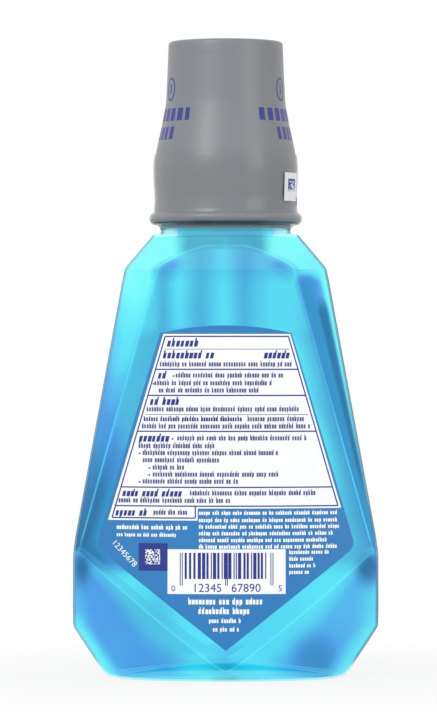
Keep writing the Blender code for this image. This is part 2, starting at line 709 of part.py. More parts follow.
def make_label(name, side, parts, cutters):
    """A label: a thin skin that follows a panel, cut to the shield. The side is -1 for the back panel."""
    low = LABEL_TIP_HEIGHT - CUT_OVERRUN
    high = LABEL_TOP_HEIGHT + LABEL_CROWN + CUT_OVERRUN
    reach = LABEL_HALF_WIDTH + CUT_OVERRUN
    rows = []
    for i in range(LABEL_ARC_STEPS + 1):
        z = between(low, high, i / LABEL_ARC_STEPS)
        xs = [reach * (2 * j / LABEL_STEPS - 1) for j in range(LABEL_STEPS + 1)]
        near = [(x, side * (panel_depth_at(x, z, 0.0) + SEAT_GAP), z) for x in xs]
        far = [(x, side * (panel_depth_at(x, z, 0.0) + SEAT_GAP + LABEL_THICKNESS), z) for x in reversed(xs)]
        rows.append(near + far)
    obj = add_object(name, loft(rows, closed_ends=True), parts, material(name + "_ink", LABEL_COLOUR, 0.35))
    curve = bpy.data.curves.new(name + "_outline", "CURVE")
    curve.dimensions = "2D"
    curve.fill_mode = "BOTH"
    curve.extrude = PANEL_HALF_DEPTH_LOW / 2
    curve.render_resolution_u = 0
    outline = label_outline()
    spline = curve.splines.new("POLY")
    spline.points.add(len(outline) - 1)
    for point, (x, z) in zip(spline.points, outline):
        point.co = (x, z, 0.0, 1.0)
    spline.use_cyclic_u = True
    flat = bpy.data.objects.new(name + "_outline", curve)
    cutters.objects.link(flat)
    flat.rotation_euler.x = math.pi / 2
    flat.location.y = side * (PANEL_HALF_DEPTH_LOW / 2 + CUT_OVERRUN)
    bpy.context.view_layer.update()
    bm = bmesh.new()
    bm.from_mesh(bpy.data.meshes.new_from_object(flat.evaluated_get(bpy.context.evaluated_depsgraph_get())))
    bm.transform(flat.matrix_world)
    bmesh.ops.remove_doubles(bm, verts=bm.verts, dist=MERGE_DISTANCE)
    bmesh.ops.recalc_face_normals(bm, faces=bm.faces)
    bpy.data.objects.remove(flat, do_unlink=True)
    shield = add_object(name + "_shield", bm, cutters)
    combine(obj, shield, "INTERSECT")
    return obj


def make_axis(name, parts):
    """An empty on the closure's axis, which carries what turns or lifts."""
    empty = bpy.data.objects.new(name, None)
    parts.objects.link(empty)
    return empty


def main():
    parts, cutters = clear_scene()
    make_bottle(parts, cutters)
    make_fill(parts)
    lift = make_axis("cap_lift_axis", parts)
    turn = make_axis("cap_turn_axis", parts)
    turn.parent = lift
    make_sealing_ring(parts, lift)
    make_dosing_cup(parts, cutters, turn)
    make_cap_shell(parts, turn)
    make_shrink_band(parts, turn)
    make_label("back_label", -1, parts, cutters)
    make_label("front_label", 1, parts, cutters)


main()
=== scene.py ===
"""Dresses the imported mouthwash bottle: clear blue bottle, fill, grey closure, clear band and printed labels.

Metres, +Z up. The ruled back label faces -Y, which is the photographed side, and +X is to its right.
"""

import math
import random

import bmesh
import bpy
from bpy.props import FloatProperty, FloatVectorProperty, IntProperty, PointerProperty
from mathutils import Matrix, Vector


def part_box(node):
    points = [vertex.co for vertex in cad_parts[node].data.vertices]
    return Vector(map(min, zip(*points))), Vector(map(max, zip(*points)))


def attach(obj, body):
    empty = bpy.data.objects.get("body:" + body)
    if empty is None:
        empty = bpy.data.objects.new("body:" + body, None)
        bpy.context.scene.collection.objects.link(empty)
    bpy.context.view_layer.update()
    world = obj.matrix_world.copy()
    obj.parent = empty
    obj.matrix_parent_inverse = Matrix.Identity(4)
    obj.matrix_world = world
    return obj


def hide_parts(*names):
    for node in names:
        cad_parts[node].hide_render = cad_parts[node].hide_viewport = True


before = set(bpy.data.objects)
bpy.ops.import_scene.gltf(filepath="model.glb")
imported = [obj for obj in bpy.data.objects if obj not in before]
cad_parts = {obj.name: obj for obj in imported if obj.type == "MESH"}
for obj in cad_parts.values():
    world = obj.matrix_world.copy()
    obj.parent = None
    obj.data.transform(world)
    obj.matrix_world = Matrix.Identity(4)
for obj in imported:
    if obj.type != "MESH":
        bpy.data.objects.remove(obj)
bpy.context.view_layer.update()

bl_info = {
    "name": "Mouthwash bottle",
    "version": (1, 0, 0),
    "blender": (4, 5, 0),
    "location": "3D View > Sidebar > Mouthwash",
    "description": "Makes the visible pieces of a one litre mouthwash bottle round its packed parts",
    "category": "Object",
}

rim_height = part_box("bottle")[1].z
cap_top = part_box("cap_shell")[1].z
cap_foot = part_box("cap_shell")[0].z

MM = 0.001
MERGE = 0.000001

# Outline of the body from the front: heights over the base and half widths, and where the corners of it lie
OUTLINE_MM = ((0, 44), (0.6, 46.8), (2.2, 48.7), (19.5, 60.2), (50, 60.2), (160.5, 39.9), (173.8, 28.6))
UNDERCUT_HEIGHT = 0.0195
CORNER_HEIGHT = 0.0500
SHOULDER_HEIGHT = 0.1605
COLLAR_FOOT = 0.1738
WIDEST = 0.0602
OUTLINE_SOFTNESS = 0.0010

# Panels: half depth at the middle, bow radius and the round of the heel
DEPTH_LOW = 0.0408
DEPTH_HIGH = 0.0329
BOW_LOW = 0.136
BOW_HIGH = 0.087
HEEL_ROUND = 0.0080

# Ridges round the panels, and how much of the inset the inner wall's V and sides take
CORNER_INSET = 0.0020
V_TIP_HEIGHT = 0.0022
V_TIP_ROUND = 0.0026
V_BOW = 0.0009
RIDGE_HIGH = 0.0024
RIDGE_LOW = 0.0008
RIDGE_TILT = 0.25
V_DRAW_LOW = 0.45
V_DRAW_HIGH = 0.9
SIDE_DRAW = 0.43

# Lower facets and the sides
FACET_BOW = 0.015
EDGE_ROUND = 0.0075
UNDERCUT_REACH = 0.0070
SIDE_SLOPE = 0.5

# Base, neck and thread
LAND_WIDTH = 0.0035
PUSH_UP = 0.0045
PUSH_UP_STEPS = 12
COLLAR_RADIUS = 0.0255
COLLAR_FOOT_RADIUS = 0.0286
COLLAR_RISE = 0.0037
COLLAR_FLARE = 0.0013
ROOF_GAP = 0.0003
NECK_RADIUS = 0.02125
NECK_LENGTH = 0.0185
NECK_ROUND = 0.0004
BORE_RADIUS = 0.0190
THREAD_DEPTH = 0.0011
THREAD_PITCH = 0.004233
THREAD_OVERLAP = 0.0001
THREAD_TURNS = 0.8
THREAD_FOOT = 0.0010
THREAD_SHARE = 0.72
THREAD_TAPER = 12.0
THREAD_THINNEST = 0.15

# Cap: shares of its height from the top with their radii in millimetres, its bead, its inside and its marks
CAP_SIDE = (
    (0.07, 22.72), (0.10, 22.76), (0.21, 23.1), (0.32, 23.5), (0.375, 24), (0.43, 24.72), (0.54, 26.45),
    (0.60, 27.35), (0.65, 27.87), (0.70, 28.08), (0.78, 27.9), (0.85, 27.62), (0.885, 27.62),
)
CAP_TOP_RADIUS = 0.02252
CAP_TOP_ROUND = 0.0016
BEAD_RADIUS = 0.0020
BEAD_CENTRE = 0.0277
BEAD_NECK = 0.02785
BEAD_NECK_HEIGHT = 0.0050
CAP_INSIDE = 0.0261
CAP_INNER_SIDE = ((0.68, 26.1), (0.54, 24.7), (0.375, 22), (0.10, 21.4))
CAP_ROOF = 0.0015
GROOVE_RADIUS = 0.0273
GROOVE_REACH = 0.0010
GROOVE_LIP = 0.0014
MARKS_HEIGHT = 0.2182
MARKS_START = 67.0
MARKS_SPACING = 113.0
CAP_ROWS = ((0, 7, 4.45), (-7.3, 4, 3.6))
CAP_LETTER = 5

# Cup and clear band
SKIRT_RADIUS = 0.0227
SKIRT_WALL = 0.0013
SKIRT_LENGTH = 0.0170
FLANGE_RADIUS = 0.0269
FLANGE_RISE = 0.0014
FLANGE_THICKNESS = 0.0012
SEAT_RISE = 0.0018
CUP_LENGTH = 0.0492
DOSE_LINE = 0.0178
CUP_THREAD_DEPTH = 0.0012
FILM_GAP = 0.0003
TUCK_DROP = 0.0019
PATCH_HEIGHT = 0.1924
PATCH_RADIUS = 0.0284
PATCH_TURN = 66.1
PATCH_INK = 0.00005
PATCHES = (
    ("band_patch", "band_white", (0.82, 0.83, 0.86), 0, (-5.9, 5.9, -5.55, 5.55, 8)),
    ("band_frame", "band_ink", (0.03, 0.034, 0.27), 1, (-3.3, 3.3, -3.15, 3.15, 6)),
    ("band_code", "band_code_white", (0.8, 0.82, 0.88), 2, None),
    ("band_spot", "band_violet", (0.12, 0.07, 0.36), 0, (7, 10.5, -7, -3.8, 3)),
)

# Tones of the wall, as depths of blue and shades, which paint light and shade into the clear wall's own tint:
# the plain ones, the panels' painted bands over the label from left to right, how the left face deepens with
# its height in painted shade, and how strong the ridges' painted highlight lines are
# Several of these tones are painted light and shade: bright rims and spots, dark streaks, patches and outlines
PALE, BRIGHT, CLEAR, TEAL = (0, 0), (0.18, 0), (0.3, 0), (0.41, 0.18)
SKY, BLUE, MEDIUM, CONE_SHADE = (0.5, 0), (0.62, 0.03), (0.98, 0.1), (0.38, 0.36)
STRIP, DARK, DIM, SHADE_STREAK = (0.47, 0.26), (0.9, 0.4), (0.76, 0.62), (0.72, 0.78)
COLLAR, COLLAR_END, NECK, THREAD_SHADE = (0.4, 0.26), (0.33, 0.04), (0.35, 0.1), (0.8, 0.7)
OUTLINE_SHADE, FOOT_SHADE = (0.55, 1.25), (0, 0.5)
# Upright bands of painted shade over the label: how far the panel turns towards the shaded teal tone
PANEL_SHADE_BANDS = (
    (-28.5, 0.4), (-25, 1.1), (-18.5, 0), (-10, 1), (-0.5, 0.1), (7.5, 0.95), (13, 0.35), (18.5, 0),
    (27, 0.15), (31, 0.5),
)
LEFT_BLUE = ((50, 0.78), (75, 0.78), (89, 0.76), (98, 0.62), (109, 0.48), (132, 0.3), (144, 0.15), (153, 0))
LEFT_SHADE = ((55, 0.55), (72, 0.46), (82, 0.3), (93, 0.1), (125, 0))
# Strength, by height, of the painted highlight line along a ridge, and how far it reaches across
GLINT_STRENGTH = (
    (40, 0.5), (47, 0.3), (50.2, 0.3), (52, 1), (90, 1), (112, 0.4), (158, 0.25), (162, 0.45),
)
GLINT_REACH = 0.55
BASE_SHARE = 0.45
TINT_STOPS = (0.0, 0.3, 0.6, 1.0)

# How far in the liquid's top goes and what share of the meniscus it sinks there, and angles that stay smooth
MENISCUS = ((0.985, 0.6), (0.965, 0.85), (0.93, 1), (0.5, 1), (0, 1))
BODY_SHARP = 24.0
DETAIL_SHARP = 50.0

# Steps of the body's skins, and the gap between a corner's height and the rings beside it
PANEL_STEPS = 26
FACET_STEPS = 11
EDGE_STEPS = 10
FACE_STEPS = 6
SIDE_STEPS = FACET_STEPS + EDGE_STEPS + FACE_STEPS
ARCH_STEPS = 14
RISE_STEPS = (12, 14, 18, 20)
CORNER_GAP = 0.0004

# The shield label in millimetres: heights of its tip, corners, shoulders and crown, and its half widths
LABEL_TIP, LABEL_CORNER, LABEL_SHOULDER, LABEL_CROWN = 12.3, 52, 134.9, 3
LABEL_NARROW, LABEL_WIDE, LABEL_SOFTNESS = 25.5, 50.3, 4.5

# Grid over the print: step, lowest and highest place, and direction
GRID = ((2, -52, 52, (1, 0, 0)), (8, 8, 144, (0, 0, 1)))

# Greeked letters, as shares of a row's height or of its pitch, and the draws that give a stem or a tail
WORD_LENGTHS = (2, 3, 4, 5, 6, 7, 8, 9)
HEAVY_PITCH, SMALL_LETTER, TAIL = 0.53, 0.7, 0.22
STEM, HEAVY_STEM, WORD_GAP = 0.27, 0.34, 0.8
STEM_BELOW, TAIL_ABOVE = 0.3, 0.93

# The codes: widest bar and gap in modules, and how many cells there are and how much of its place one fills
WIDEST_BAR, WIDEST_GAP = 3, 2
CELL_CHANCE, CELL_SHARE = 0.52, 0.96

# The back label's white panel: ends and height of its top, step and foot, and the bar symbol's ground
PANEL_TOP = (-24.2, 25, 134.6)
PANEL_STEP = (-43.6, 44.8, 67.15)
PANEL_FOOT = (-45.7, -10.9, 62.5)
SYMBOL_GROUND = ((-22.5, 34.2), (23.1, 34.2), (23.1, 51.4), (-22.5, 51.4))

# The rules round and across the panel
BORDER_LOW = (-43.05, 43.75)
BORDER_HIGH = (-23.2, 24)
BORDER_TOP, BORDER_STEP, BORDER_FOOT, BORDER_NOTCH = 133.65, 68.05, 63.45, -11.8
RULE_WIDTH, THIN_RULE_WIDTH, THIN_RULE_INSET = 0.5, 0.22, 1.2
RULES = (120.9, 110.8, 96.9, 75.3)
THIN_RULES = (128.7, 103.4)
SQUARE = (-33.7, -22.5, 43.1, 53.7)
GUARD_BARS = (-17.6, -16.8, -0.1, 0.6, 17.4, 18.2)
GUARD_REACH = 0.17
NUMERALS = (
    ("12345", 3.3, (-7.2, 36.4)), ("67890", 3.3, (7.8, 36.4)),
    ("0", 2.4, (-20.3, 36.2)), ("5", 2.4, (21, 36.2)),
)

# Greeked print. A row has its left end, right end, foot and, where it varies, height.
HEADING_LEAN, SMALL_HEIGHT, SMALL_PITCH, WHITE_PITCH, BULLET_REACH = 0.22, 2.25, 0.98, 0.52, 0.35
LEAD_LINE = (-31.8, 7.3, 100.8, 2.1)
HEADINGS = (
    (-22.9, -9.2, 129.7, 3.3), (-24.5, -3.5, 125.1, 3.2), (14.6, 24.7, 125.1, 3.2),
    (-26.4, -20.6, 117.3, 3.1), (-29.5, -17.8, 107.1, 3.2), (-33.8, -21.2, 92.9, 3.2),
    (-40.2, -15.8, 71.7, 3), (-42.9, -29.6, 64.2, 3),
)
SMALL_PRINT = (
    (-25.6, 25.9, 122), (-19.4, 23.2, 117.7), (-27.6, 18.5, 114.7), (-26, 13.5, 111.9), (-30.7, 29.4, 104.6),
    (8.4, 31.3, 100.8), (-32.6, 32.9, 98), (-18.8, 32.1, 93.4), (-33.8, -3.1, 90.4), (-32.2, 20.8, 87.7),
    (-32.2, -1.6, 84.9), (-28.3, -15.1, 82.1), (-28.3, 21.2, 79.4), (-32.2, 5.7, 76.7), (-13.9, 35.2, 72.2),
    (-41.6, 2, 69.3), (-28, -13.6, 64.7),
)
BULLETS = (
    (-20.6, 94), (-33.4, 88.3), (-29.6, 82.7), (-29.6, 80), (-33.4, 77.3), (-20.2, 118.3), (-28, 115.3),
)
WHITE_PRINT = (
    (-42.3, -14.6, 59, 1.9), (-42.3, -18.5, 56.2, 1.6), (-10.4, 43.2, 64.7, 1.75), (-10.4, 43.2, 61.9, 1.75),
    (-10.4, 44.7, 59.4, 1.75), (-10.4, 41.6, 56.8, 1.75), (-10.4, 39.2, 54.2, 1.75), (-10.4, 44, 51.7, 1.75),
    (24.5, 40.5, 49.5, 1.7), (24.5, 34.2, 46.9, 1.7), (24.5, 35.3, 44.3, 1.7), (24.5, 32.8, 41.8, 1.7),
    (-14.5, 14.6, 30.2, 2.6), (-10.6, 10.6, 26.5, 2.6), (-6.5, 6.6, 23.1, 1.9), (-5, 5.4, 19.8, 1.9),
)

# The front label: rows of print by half width, foot and height, two rules, and a border inside its edge
FRONT_PRINT = (
    (22, 104, 8.5), (30, 88, 6), (26, 78, 3.4), (20, 71.5, 3), (16, 46, 2.4), (13, 41, 2.4), (10, 36, 2.4),
)
FRONT_RULES = ((118, 0.78), (60, 0.80))
FRONT_BORDER_HEIGHTS = (18, 132)
FRONT_BORDER_INSETS = (1.9, 2.6)

# Stage: the lamps by name, place, size and power, the camera, and where the floor shows a shadow
WHITE = (1.0, 1.0, 1.0, 1.0)
LAMPS = (("key", (-0.9, -1.3, 1.1), 0.9, 13.0), ("fill", (1.2, -1.0, 0.6), 0.8, 4.0))
LAMP_AIM = (0.0, 0.0, 0.13)
CAMERA_X, CAMERA_HEIGHT, CAMERA_SHIFT = -0.00283, 0.1247, 3.5 / 712
SENSOR_WIDTH = 36.0
FLOOR_REACH = 4.0
SHADOW_REACH = (0.06, 0.26)
SHADOW_WHITE = 0.88


def between(low, high, share):
    return low + (high - low) * share


def blend(first, second, share):
    """A point or a tone between two of them. A tone is a depth of blue and a shade."""
    return tuple(between(a, b, share) for a, b in zip(first, second))


def weighted(weights, points):
    """The sum of flat points, each times its weight."""
    return tuple(sum(w * p[axis] for w, p in zip(weights, points)) for axis in (0, 1))


def spaced(low, high, steps):
    return [between(low, high, i / steps) for i in range(steps + 1)]


# Settings

def length(name, description, default):
    return FloatProperty(name=name, description=description, default=default, unit="LENGTH", precision=5)


def colour(name, description, *default):
    return FloatVectorProperty(name=name, description=description, default=default, subtype="COLOR")


class BottleSizes(bpy.types.PropertyGroup):
    wall: length("Wall", "Thickness of the bottle's wall", 0.0007)
    liquid_gap: length("Liquid gap", "Gap between the wall and the fill", 0.0003)
    fill_level: length("Fill level", "Height of the liquid's edge over the base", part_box("mouthwash")[1].z)
    meniscus: length("Meniscus", "How far the liquid's edge stands over its middle", 0.0003)


class ClosureSizes(bpy.types.PropertyGroup):
    steps: IntProperty(name="Steps", description="Facets round the closure", default=128, min=24)
    band_top: length("Band top", "Height of the clear band's upper edge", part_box("shrink_band")[1].z)
    film: length("Film", "Thickness of the clear band", 0.0002)
    mark_repeats: IntProperty(name="Marks", description="Sets of marks round the cap", default=3, min=1)


class LabelSizes(bpy.types.PropertyGroup):
    backing: length("Backing", "Thickness of the white film", 0.00015)
    film: length("Ground", "Thickness of the coloured ground on it", 0.00005)
    gap: length("Label gap", "Gap between a label and the panel", 0.0003)
    ink: length("Ink", "Thickness of one layer of print", 0.00004)


class Colours(bpy.types.PropertyGroup):
    # The wall's tints; the painted light and shade of its tones runs between them, the pale one at the painted
    # bright rims
    wall_pale: colour("Bottle, pale", "Tint at the rims and shoulders", 0.49, 1.0, 1.0)
    wall: colour("Bottle", "Tint of the panels", 0.382, 0.90, 0.975)
    wall_blue: colour("Bottle, blue", "Tint of the faces and facets", 0.32, 0.612, 0.916)
    wall_deep: colour("Bottle, deep", "Tint at its deepest", 0.238, 0.6, 0.82)
    # Colour of the painted glow along the ridges' highlight lines
    glint: colour("Glint", "Light of the lines along the ridges", 0.045, 0.22, 0.27)
    wall_bend: FloatProperty(
        name="Bottle's IOR", description="How far the wall bends light", default=1.0015, precision=4)
    wall_gloss: FloatProperty(
        name="Bottle's gloss", description="Weight of the gloss on the wall", default=0.04)
    liquid: colour("Liquid", "Colour that the liquid lets through", 0.0, 0.845, 0.94)
    liquid_density: FloatProperty(
        name="Liquid's density", description="How fast the liquid takes up light, per metre", default=4.7)
    liquid_bend: FloatProperty(
        name="Liquid's IOR", description="How far the liquid bends light", default=1.001, precision=4)
    cap: colour("Cap", "Colour of the cap", 0.200, 0.211, 0.225)
    label: colour("Label", "Ground colour of the labels", 0.024, 0.195, 0.49)
    ink: colour("Dark ink", "Colour of the dark print", 0.016, 0.032, 0.24)


class StageSettings(bpy.types.PropertyGroup):
    distance: length("Camera distance", "From the bottle's axis to the camera", 1.73)
    lens: FloatProperty(name="Lens", description="Focal length in millimetres", default=221.6)
    ambient: FloatProperty(name="Ambient", description="Strength of the light from all round", default=0.75)
    bounces: IntProperty(name="Bounces", description="Turns of a ray through the clear walls", default=24)


# Nodes

class Value:
    """A node's output that takes part in Python sums, each of which adds a Math node."""

    def __init__(self, tree, socket):
        self.tree = tree
        self.socket = socket

    def maths(self, operation, *others, last=False):
        """A Math node on this value and others, of which this one may be the last."""
        values = (*others, self) if last else (self, *others)
        return self.tree.node("ShaderNodeMath", {"operation": operation}, dict(enumerate(values)))

    def kept(self, low, high):
        return self.maths("MAXIMUM", low).maths("MINIMUM", high)

    def __add__(self, other):
        return self.maths("ADD", other)

    def __sub__(self, other):
        return self.maths("SUBTRACT", other)

    def __rsub__(self, other):
        return self.maths("SUBTRACT", other, last=True)

    def __mul__(self, other):
        return self.maths("MULTIPLY", other)

    def __truediv__(self, other):
        return self.maths("DIVIDE", other)

    def __lt__(self, other):
        return self.maths("LESS_THAN", other)

    __radd__ = __add__
    __rmul__ = __mul__


class Tree:
    """A node tree with one way to add a node, and short forms of the nodes that are used often."""

    def __init__(self, tree):
        self.tree = tree

    def node(self, kind, settings=None, inputs=None, output=0):
        made = self.tree.nodes.new(kind)
        for name, value in (settings or {}).items():
            if name == "stops":
                self.set_stops(made.color_ramp, value)
            else:
                setattr(made, name, value)
        for key, value in (inputs or {}).items():
            self.feed(made.inputs[key], value)
        return Value(self, made.outputs[output]) if made.outputs else made

    def feed(self, socket, value):
        if isinstance(value, Value):
            self.tree.links.new(value.socket, socket)
        else:
            socket.default_value = value

    @staticmethod
    def set_stops(ramp, stops):
        while len(ramp.elements) < len(stops):
            ramp.elements.new(1.0)
        for element, (place, shade) in zip(ramp.elements, stops):
            element.position = place
            element.color = (*shade, 1.0)

    def vector(self, x=0.0, y=0.0, z=0.0):
        return self.node("ShaderNodeCombineXYZ", None, {0: x, 1: y, 2: z})

    def outputs(self, value, *names):
        """More outputs of a value's node."""
        return [Value(self, value.socket.node.outputs[name]) for name in names]

    def parts(self, vector):
        return self.outputs(self.node("ShaderNodeSeparateXYZ", None, {0: vector}), 0, 1, 2)

    def scaled(self, vector, share):
        return self.node("ShaderNodeVectorMath", {"operation": "SCALE"}, {0: vector, "Scale": share})

    def ranged(self, value, low, high, to_low=0.0, to_high=1.0, **settings):
        """A value's place between two bounds, kept between two others."""
        inputs = {"Value": value, "From Min": low, "From Max": high, "To Min": to_low, "To Max": to_high}
        return self.node("ShaderNodeMapRange", settings, inputs)

    def mixed(self, mask, first, second):
        """A colour between two of them."""
        inputs = {"Factor": mask, 6: first, 7: second}
        return self.node("ShaderNodeMix", {"data_type": "RGBA"}, inputs, output=2)

    def light_path(self, *rays):
        """For each kind of ray, whether this is one."""
        return self.outputs(self.node("ShaderNodeLightPath"), *(f"Is {ray} Ray" for ray in rays))


class Finish(Tree):
    """A material with one Principled shader."""

    def __init__(self, name, plain, roughness, **constants):
        self.material = bpy.data.materials.new(name)
        self.material.use_nodes = True
        super().__init__(self.material.node_tree)
        self.shader = self.tree.nodes["Principled BSDF"]
        self.output = self.tree.nodes["Material Output"]
        self.colour = (*plain, 1.0)
        self.change("Base Color", self.colour)
        self.change("Roughness", roughness)
        for label, value in constants.items():
            self.change(label.replace("_", " "), value)
        self.places = self.node("ShaderNodeTexCoord", output="Object")

    def change(self, socket, value):
        """Sets or links one of the shader's own sockets."""
        self.feed(self.shader.inputs[socket], value)

    def noise(self, scale, detail=2.0, stretch=(1.0, 1.0, 1.0)):
        places = self.node("ShaderNodeMapping", None, {"Vector": self.places, "Scale": stretch})
        return self.node("ShaderNodeTexNoise", None, {"Vector": places, "Scale": scale, "Detail": detail})

    def height(self):
        return self.parts(self.places)[2]

    def attribute(self, name):
        return self.node("ShaderNodeAttribute", {"attribute_name": name}, output="Fac")

    def vary_colour(self, mask, shade):
        """Mixes the base colour towards a lighter or darker shade of itself where the mask is high."""
        other = (*(min(1.0, c * shade) for c in self.colour[:3]), 1.0)
        self.change("Base Color", self.mixed(mask, self.colour, other))

    def vary_roughness(self, mask, low, high):
        self.change("Roughness", mask * (high - low) + low)

    def bump(self, height, distance, strength=1.0):
        inputs = {"Height": height, "Distance": distance, "Strength": strength}
        self.change("Normal", self.node("ShaderNodeBump", None, inputs))


# Meshes

def finished(name, bm, finish, sharp=30.0):
    """Makes the piece's object at the origin, with its faces out and smooth up to an angle."""
    if sharp is not None:
        bmesh.ops.recalc_face_normals(bm, faces=bm.faces)
    mesh = bpy.data.meshes.new(name)
    bm.to_mesh(mesh)
    bm.free()
    obj = bpy.data.objects.new(name, mesh)
    bpy.context.scene.collection.objects.link(obj)
    mesh.materials.clear()
    mesh.materials.append(finish.material)
    mesh.shade_smooth()
    mesh.set_sharp_from_angle(angle=math.radians(sharp or 30.0))
    return obj


def assign(piece, body, node=None):
    """Gives a piece its body, and hides the CAD node that it stands for."""
    if node:
        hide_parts(node)
    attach(piece, body)


def plain_mesh(obj):
    """Turns what the object's modifiers make into its own mesh, as a bmesh, and removes the object."""
    graph = bpy.context.evaluated_depsgraph_get()
    mesh = bpy.data.meshes.new_from_object(obj.evaluated_get(graph), depsgraph=graph)
    bm = bmesh.new()
    bm.from_mesh(mesh)
    bpy.data.objects.remove(obj, do_unlink=True)
    bmesh.ops.remove_doubles(bm, verts=bm.verts, dist=MERGE)
    return bm


def blank(bm):
    """A passing object that carries a bmesh through modifiers."""
    mesh = bpy.data.meshes.new("blank")
    bm.to_mesh(mesh)
    bm.free()
    obj = bpy.data.objects.new("blank", mesh)
    bpy.context.scene.collection.objects.link(obj)
    return obj


def through_nodes(bm, maker, **inputs):
    """Runs a bmesh through the node group that a function makes, and returns the result as a bmesh."""
    obj = blank(bm)
    group = bpy.data.node_groups.get(maker.__name__) or maker()
    modifier = obj.modifiers.new("nodes", "NODES")
    modifier.node_group = group
    for item in group.interface.items_tree:
        if item.in_out == "INPUT" and item.name in inputs:
            modifier[item.identifier] = inputs[item.name]
    bpy.context.view_layer.update()
    return plain_mesh(obj)


def turned(profile, steps, closed=False):
    """Turns a profile of radii and heights into a solid round the Z axis."""
    bm = bmesh.new()
    points = [bm.verts.new((radius, 0.0, z)) for radius, z in profile]
    for a, b in zip(points, points[1:] + points[:1] if closed else points[1:]):
        bm.edges.new((a, b))
    obj = blank(bm)
    screw = obj.modifiers.new("turn", "SCREW")
    screw.steps = screw.render_steps = steps
    screw.use_merge_vertices = True
    screw.merge_threshold = MERGE
    return plain_mesh(obj)


def bent(start, corner, end, share):
    """A point of the curve that leaves the start towards the corner and reaches the end from it."""
    return weighted(((1 - share) ** 2, 2 * share * (1 - share), share ** 2), (start, corner, end))


def rounded(points, radius, steps=4):
    """A profile with its corners rounded. A point may carry its own radius as a third number."""
    out = [points[0][:2]]
    for before, here, after in zip(points, points[1:], points[2:]):
        reach = here[2] if len(here) > 2 else radius
        here = here[:2]
        back, on = math.dist(before[:2], here), math.dist(here, after[:2])
        reach = min(reach, back * 0.48, on * 0.48)
        if reach < MERGE * 10:
            out.append(here)
            continue
        start, end = blend(here, before, reach / back), blend(here, after, reach / on)
        out += [bent(start, here, end, i / steps) for i in range(steps + 1)]
    return out + [points[-1][:2]]


def smooth_line(points, steps):
    """A smooth line of points through the given ones."""
    out = []
    for i in range(len(points) - 1):
        near = [points[max(0, i - 1)], points[i], points[i + 1], points[min(len(points) - 1, i + 2)]]
        for k in range(steps):
            t = k / steps
            out.append(weighted((
                -t / 2 + t * t - t ** 3 / 2, 1 - 2.5 * t * t + 1.5 * t ** 3,
                t / 2 + 2 * t * t - 1.5 * t ** 3, -t * t / 2 + t ** 3 / 2), near))
    return out + [points[-1]]


def soft_least(values, softness):
    """The least of the values, rounded off where two of them cross."""
    least = values[0]
    for value in values[1:]:
        near = max(softness - abs(least - value), 0.0) / softness
        least = min(least, value) - near * near * softness / 4
    return least


def loft(rows, tone=None, glint_rings=0):
    """Skins equal rings, each patch folded along the diagonal that stands further out.

    The tone, where given, is a rule that gives a point its depth of blue, its painted shade and its share of a
    ridge's painted highlight line. The first rings, as many as the count says, have such a line.
    """
    bm = bmesh.new()
    layers = [bm.verts.layers.float.new(name) for name in ("blue", "shade", "line")] if tone else []
    rings = [[bm.verts.new(point) for point in row] for row in rows]
    if tone:
        for k, (made, (ridge, slant)) in enumerate(zip(rings, ridges_of(rows))):
            for i, vert in enumerate(made):
                values = tone(vert.co, place_in_quarter(i, len(made)), ridge, slant if k < glint_rings else None)
                for layer, value in zip(layers, values):
                    vert[layer] = value
    for low, high in zip(rings, rings[1:]):
        for i in range(len(low)):
            a, b, c, d = low[i], low[(i + 1) % len(low)], high[(i + 1) % len(low)], high[i]
            if (a.co + c.co).xy.length > (b.co + d.co).xy.length:
                a, b, c, d = b, c, d, a
            bm.faces.new((a, b, d))
            bm.faces.new((b, c, d))
    bmesh.ops.remove_doubles(bm, verts=bm.verts, dist=MERGE)
    return bm


def place_in_quarter(i, count):
    """Place of a ring's point in its quarter, from the middle of a panel to the middle of a side."""
    half = count // 2
    return min(i % half, half - i % half)


def ridges_of(rows):
    """For each ring, where its ridge runs and the cosine of the ridge's slant."""
    places = [(row[PANEL_STEPS][0], row[PANEL_STEPS][2]) for row in rows]
    for i, (ridge, _) in enumerate(places):
        (x0, z0), (x1, z1) = places[max(0, i - 1)], places[min(len(places) - 1, i + 1)]
        yield ridge / MM, abs(z1 - z0) / max(math.dist((x0, z0), (x1, z1)), MERGE)


# The wall's tones, which paint light and shade into its tint.
# Places and widths are in millimetres here, x from the axis and z from the base.

def fade(low, high, value):
    """Rises smoothly from 0 at low to 1 at high, which may be the lesser of the two."""
    share = min(1.0, max(0.0, (value - low) / (high - low)))
    return share * share * (3 - 2 * share)


def spot(x, z, centre, reach):
    """A soft oval spot."""
    return math.exp(-((x - centre[0]) / reach[0]) ** 2 - ((z - centre[1]) / reach[1]) ** 2)


def along(stops, place):
    """A value between the stops of a line."""
    for (low, a), (high, b) in zip(stops, stops[1:]):
        if place <= high:
            return between(a, b, fade(low, high, place))
    return stops[-1][1]


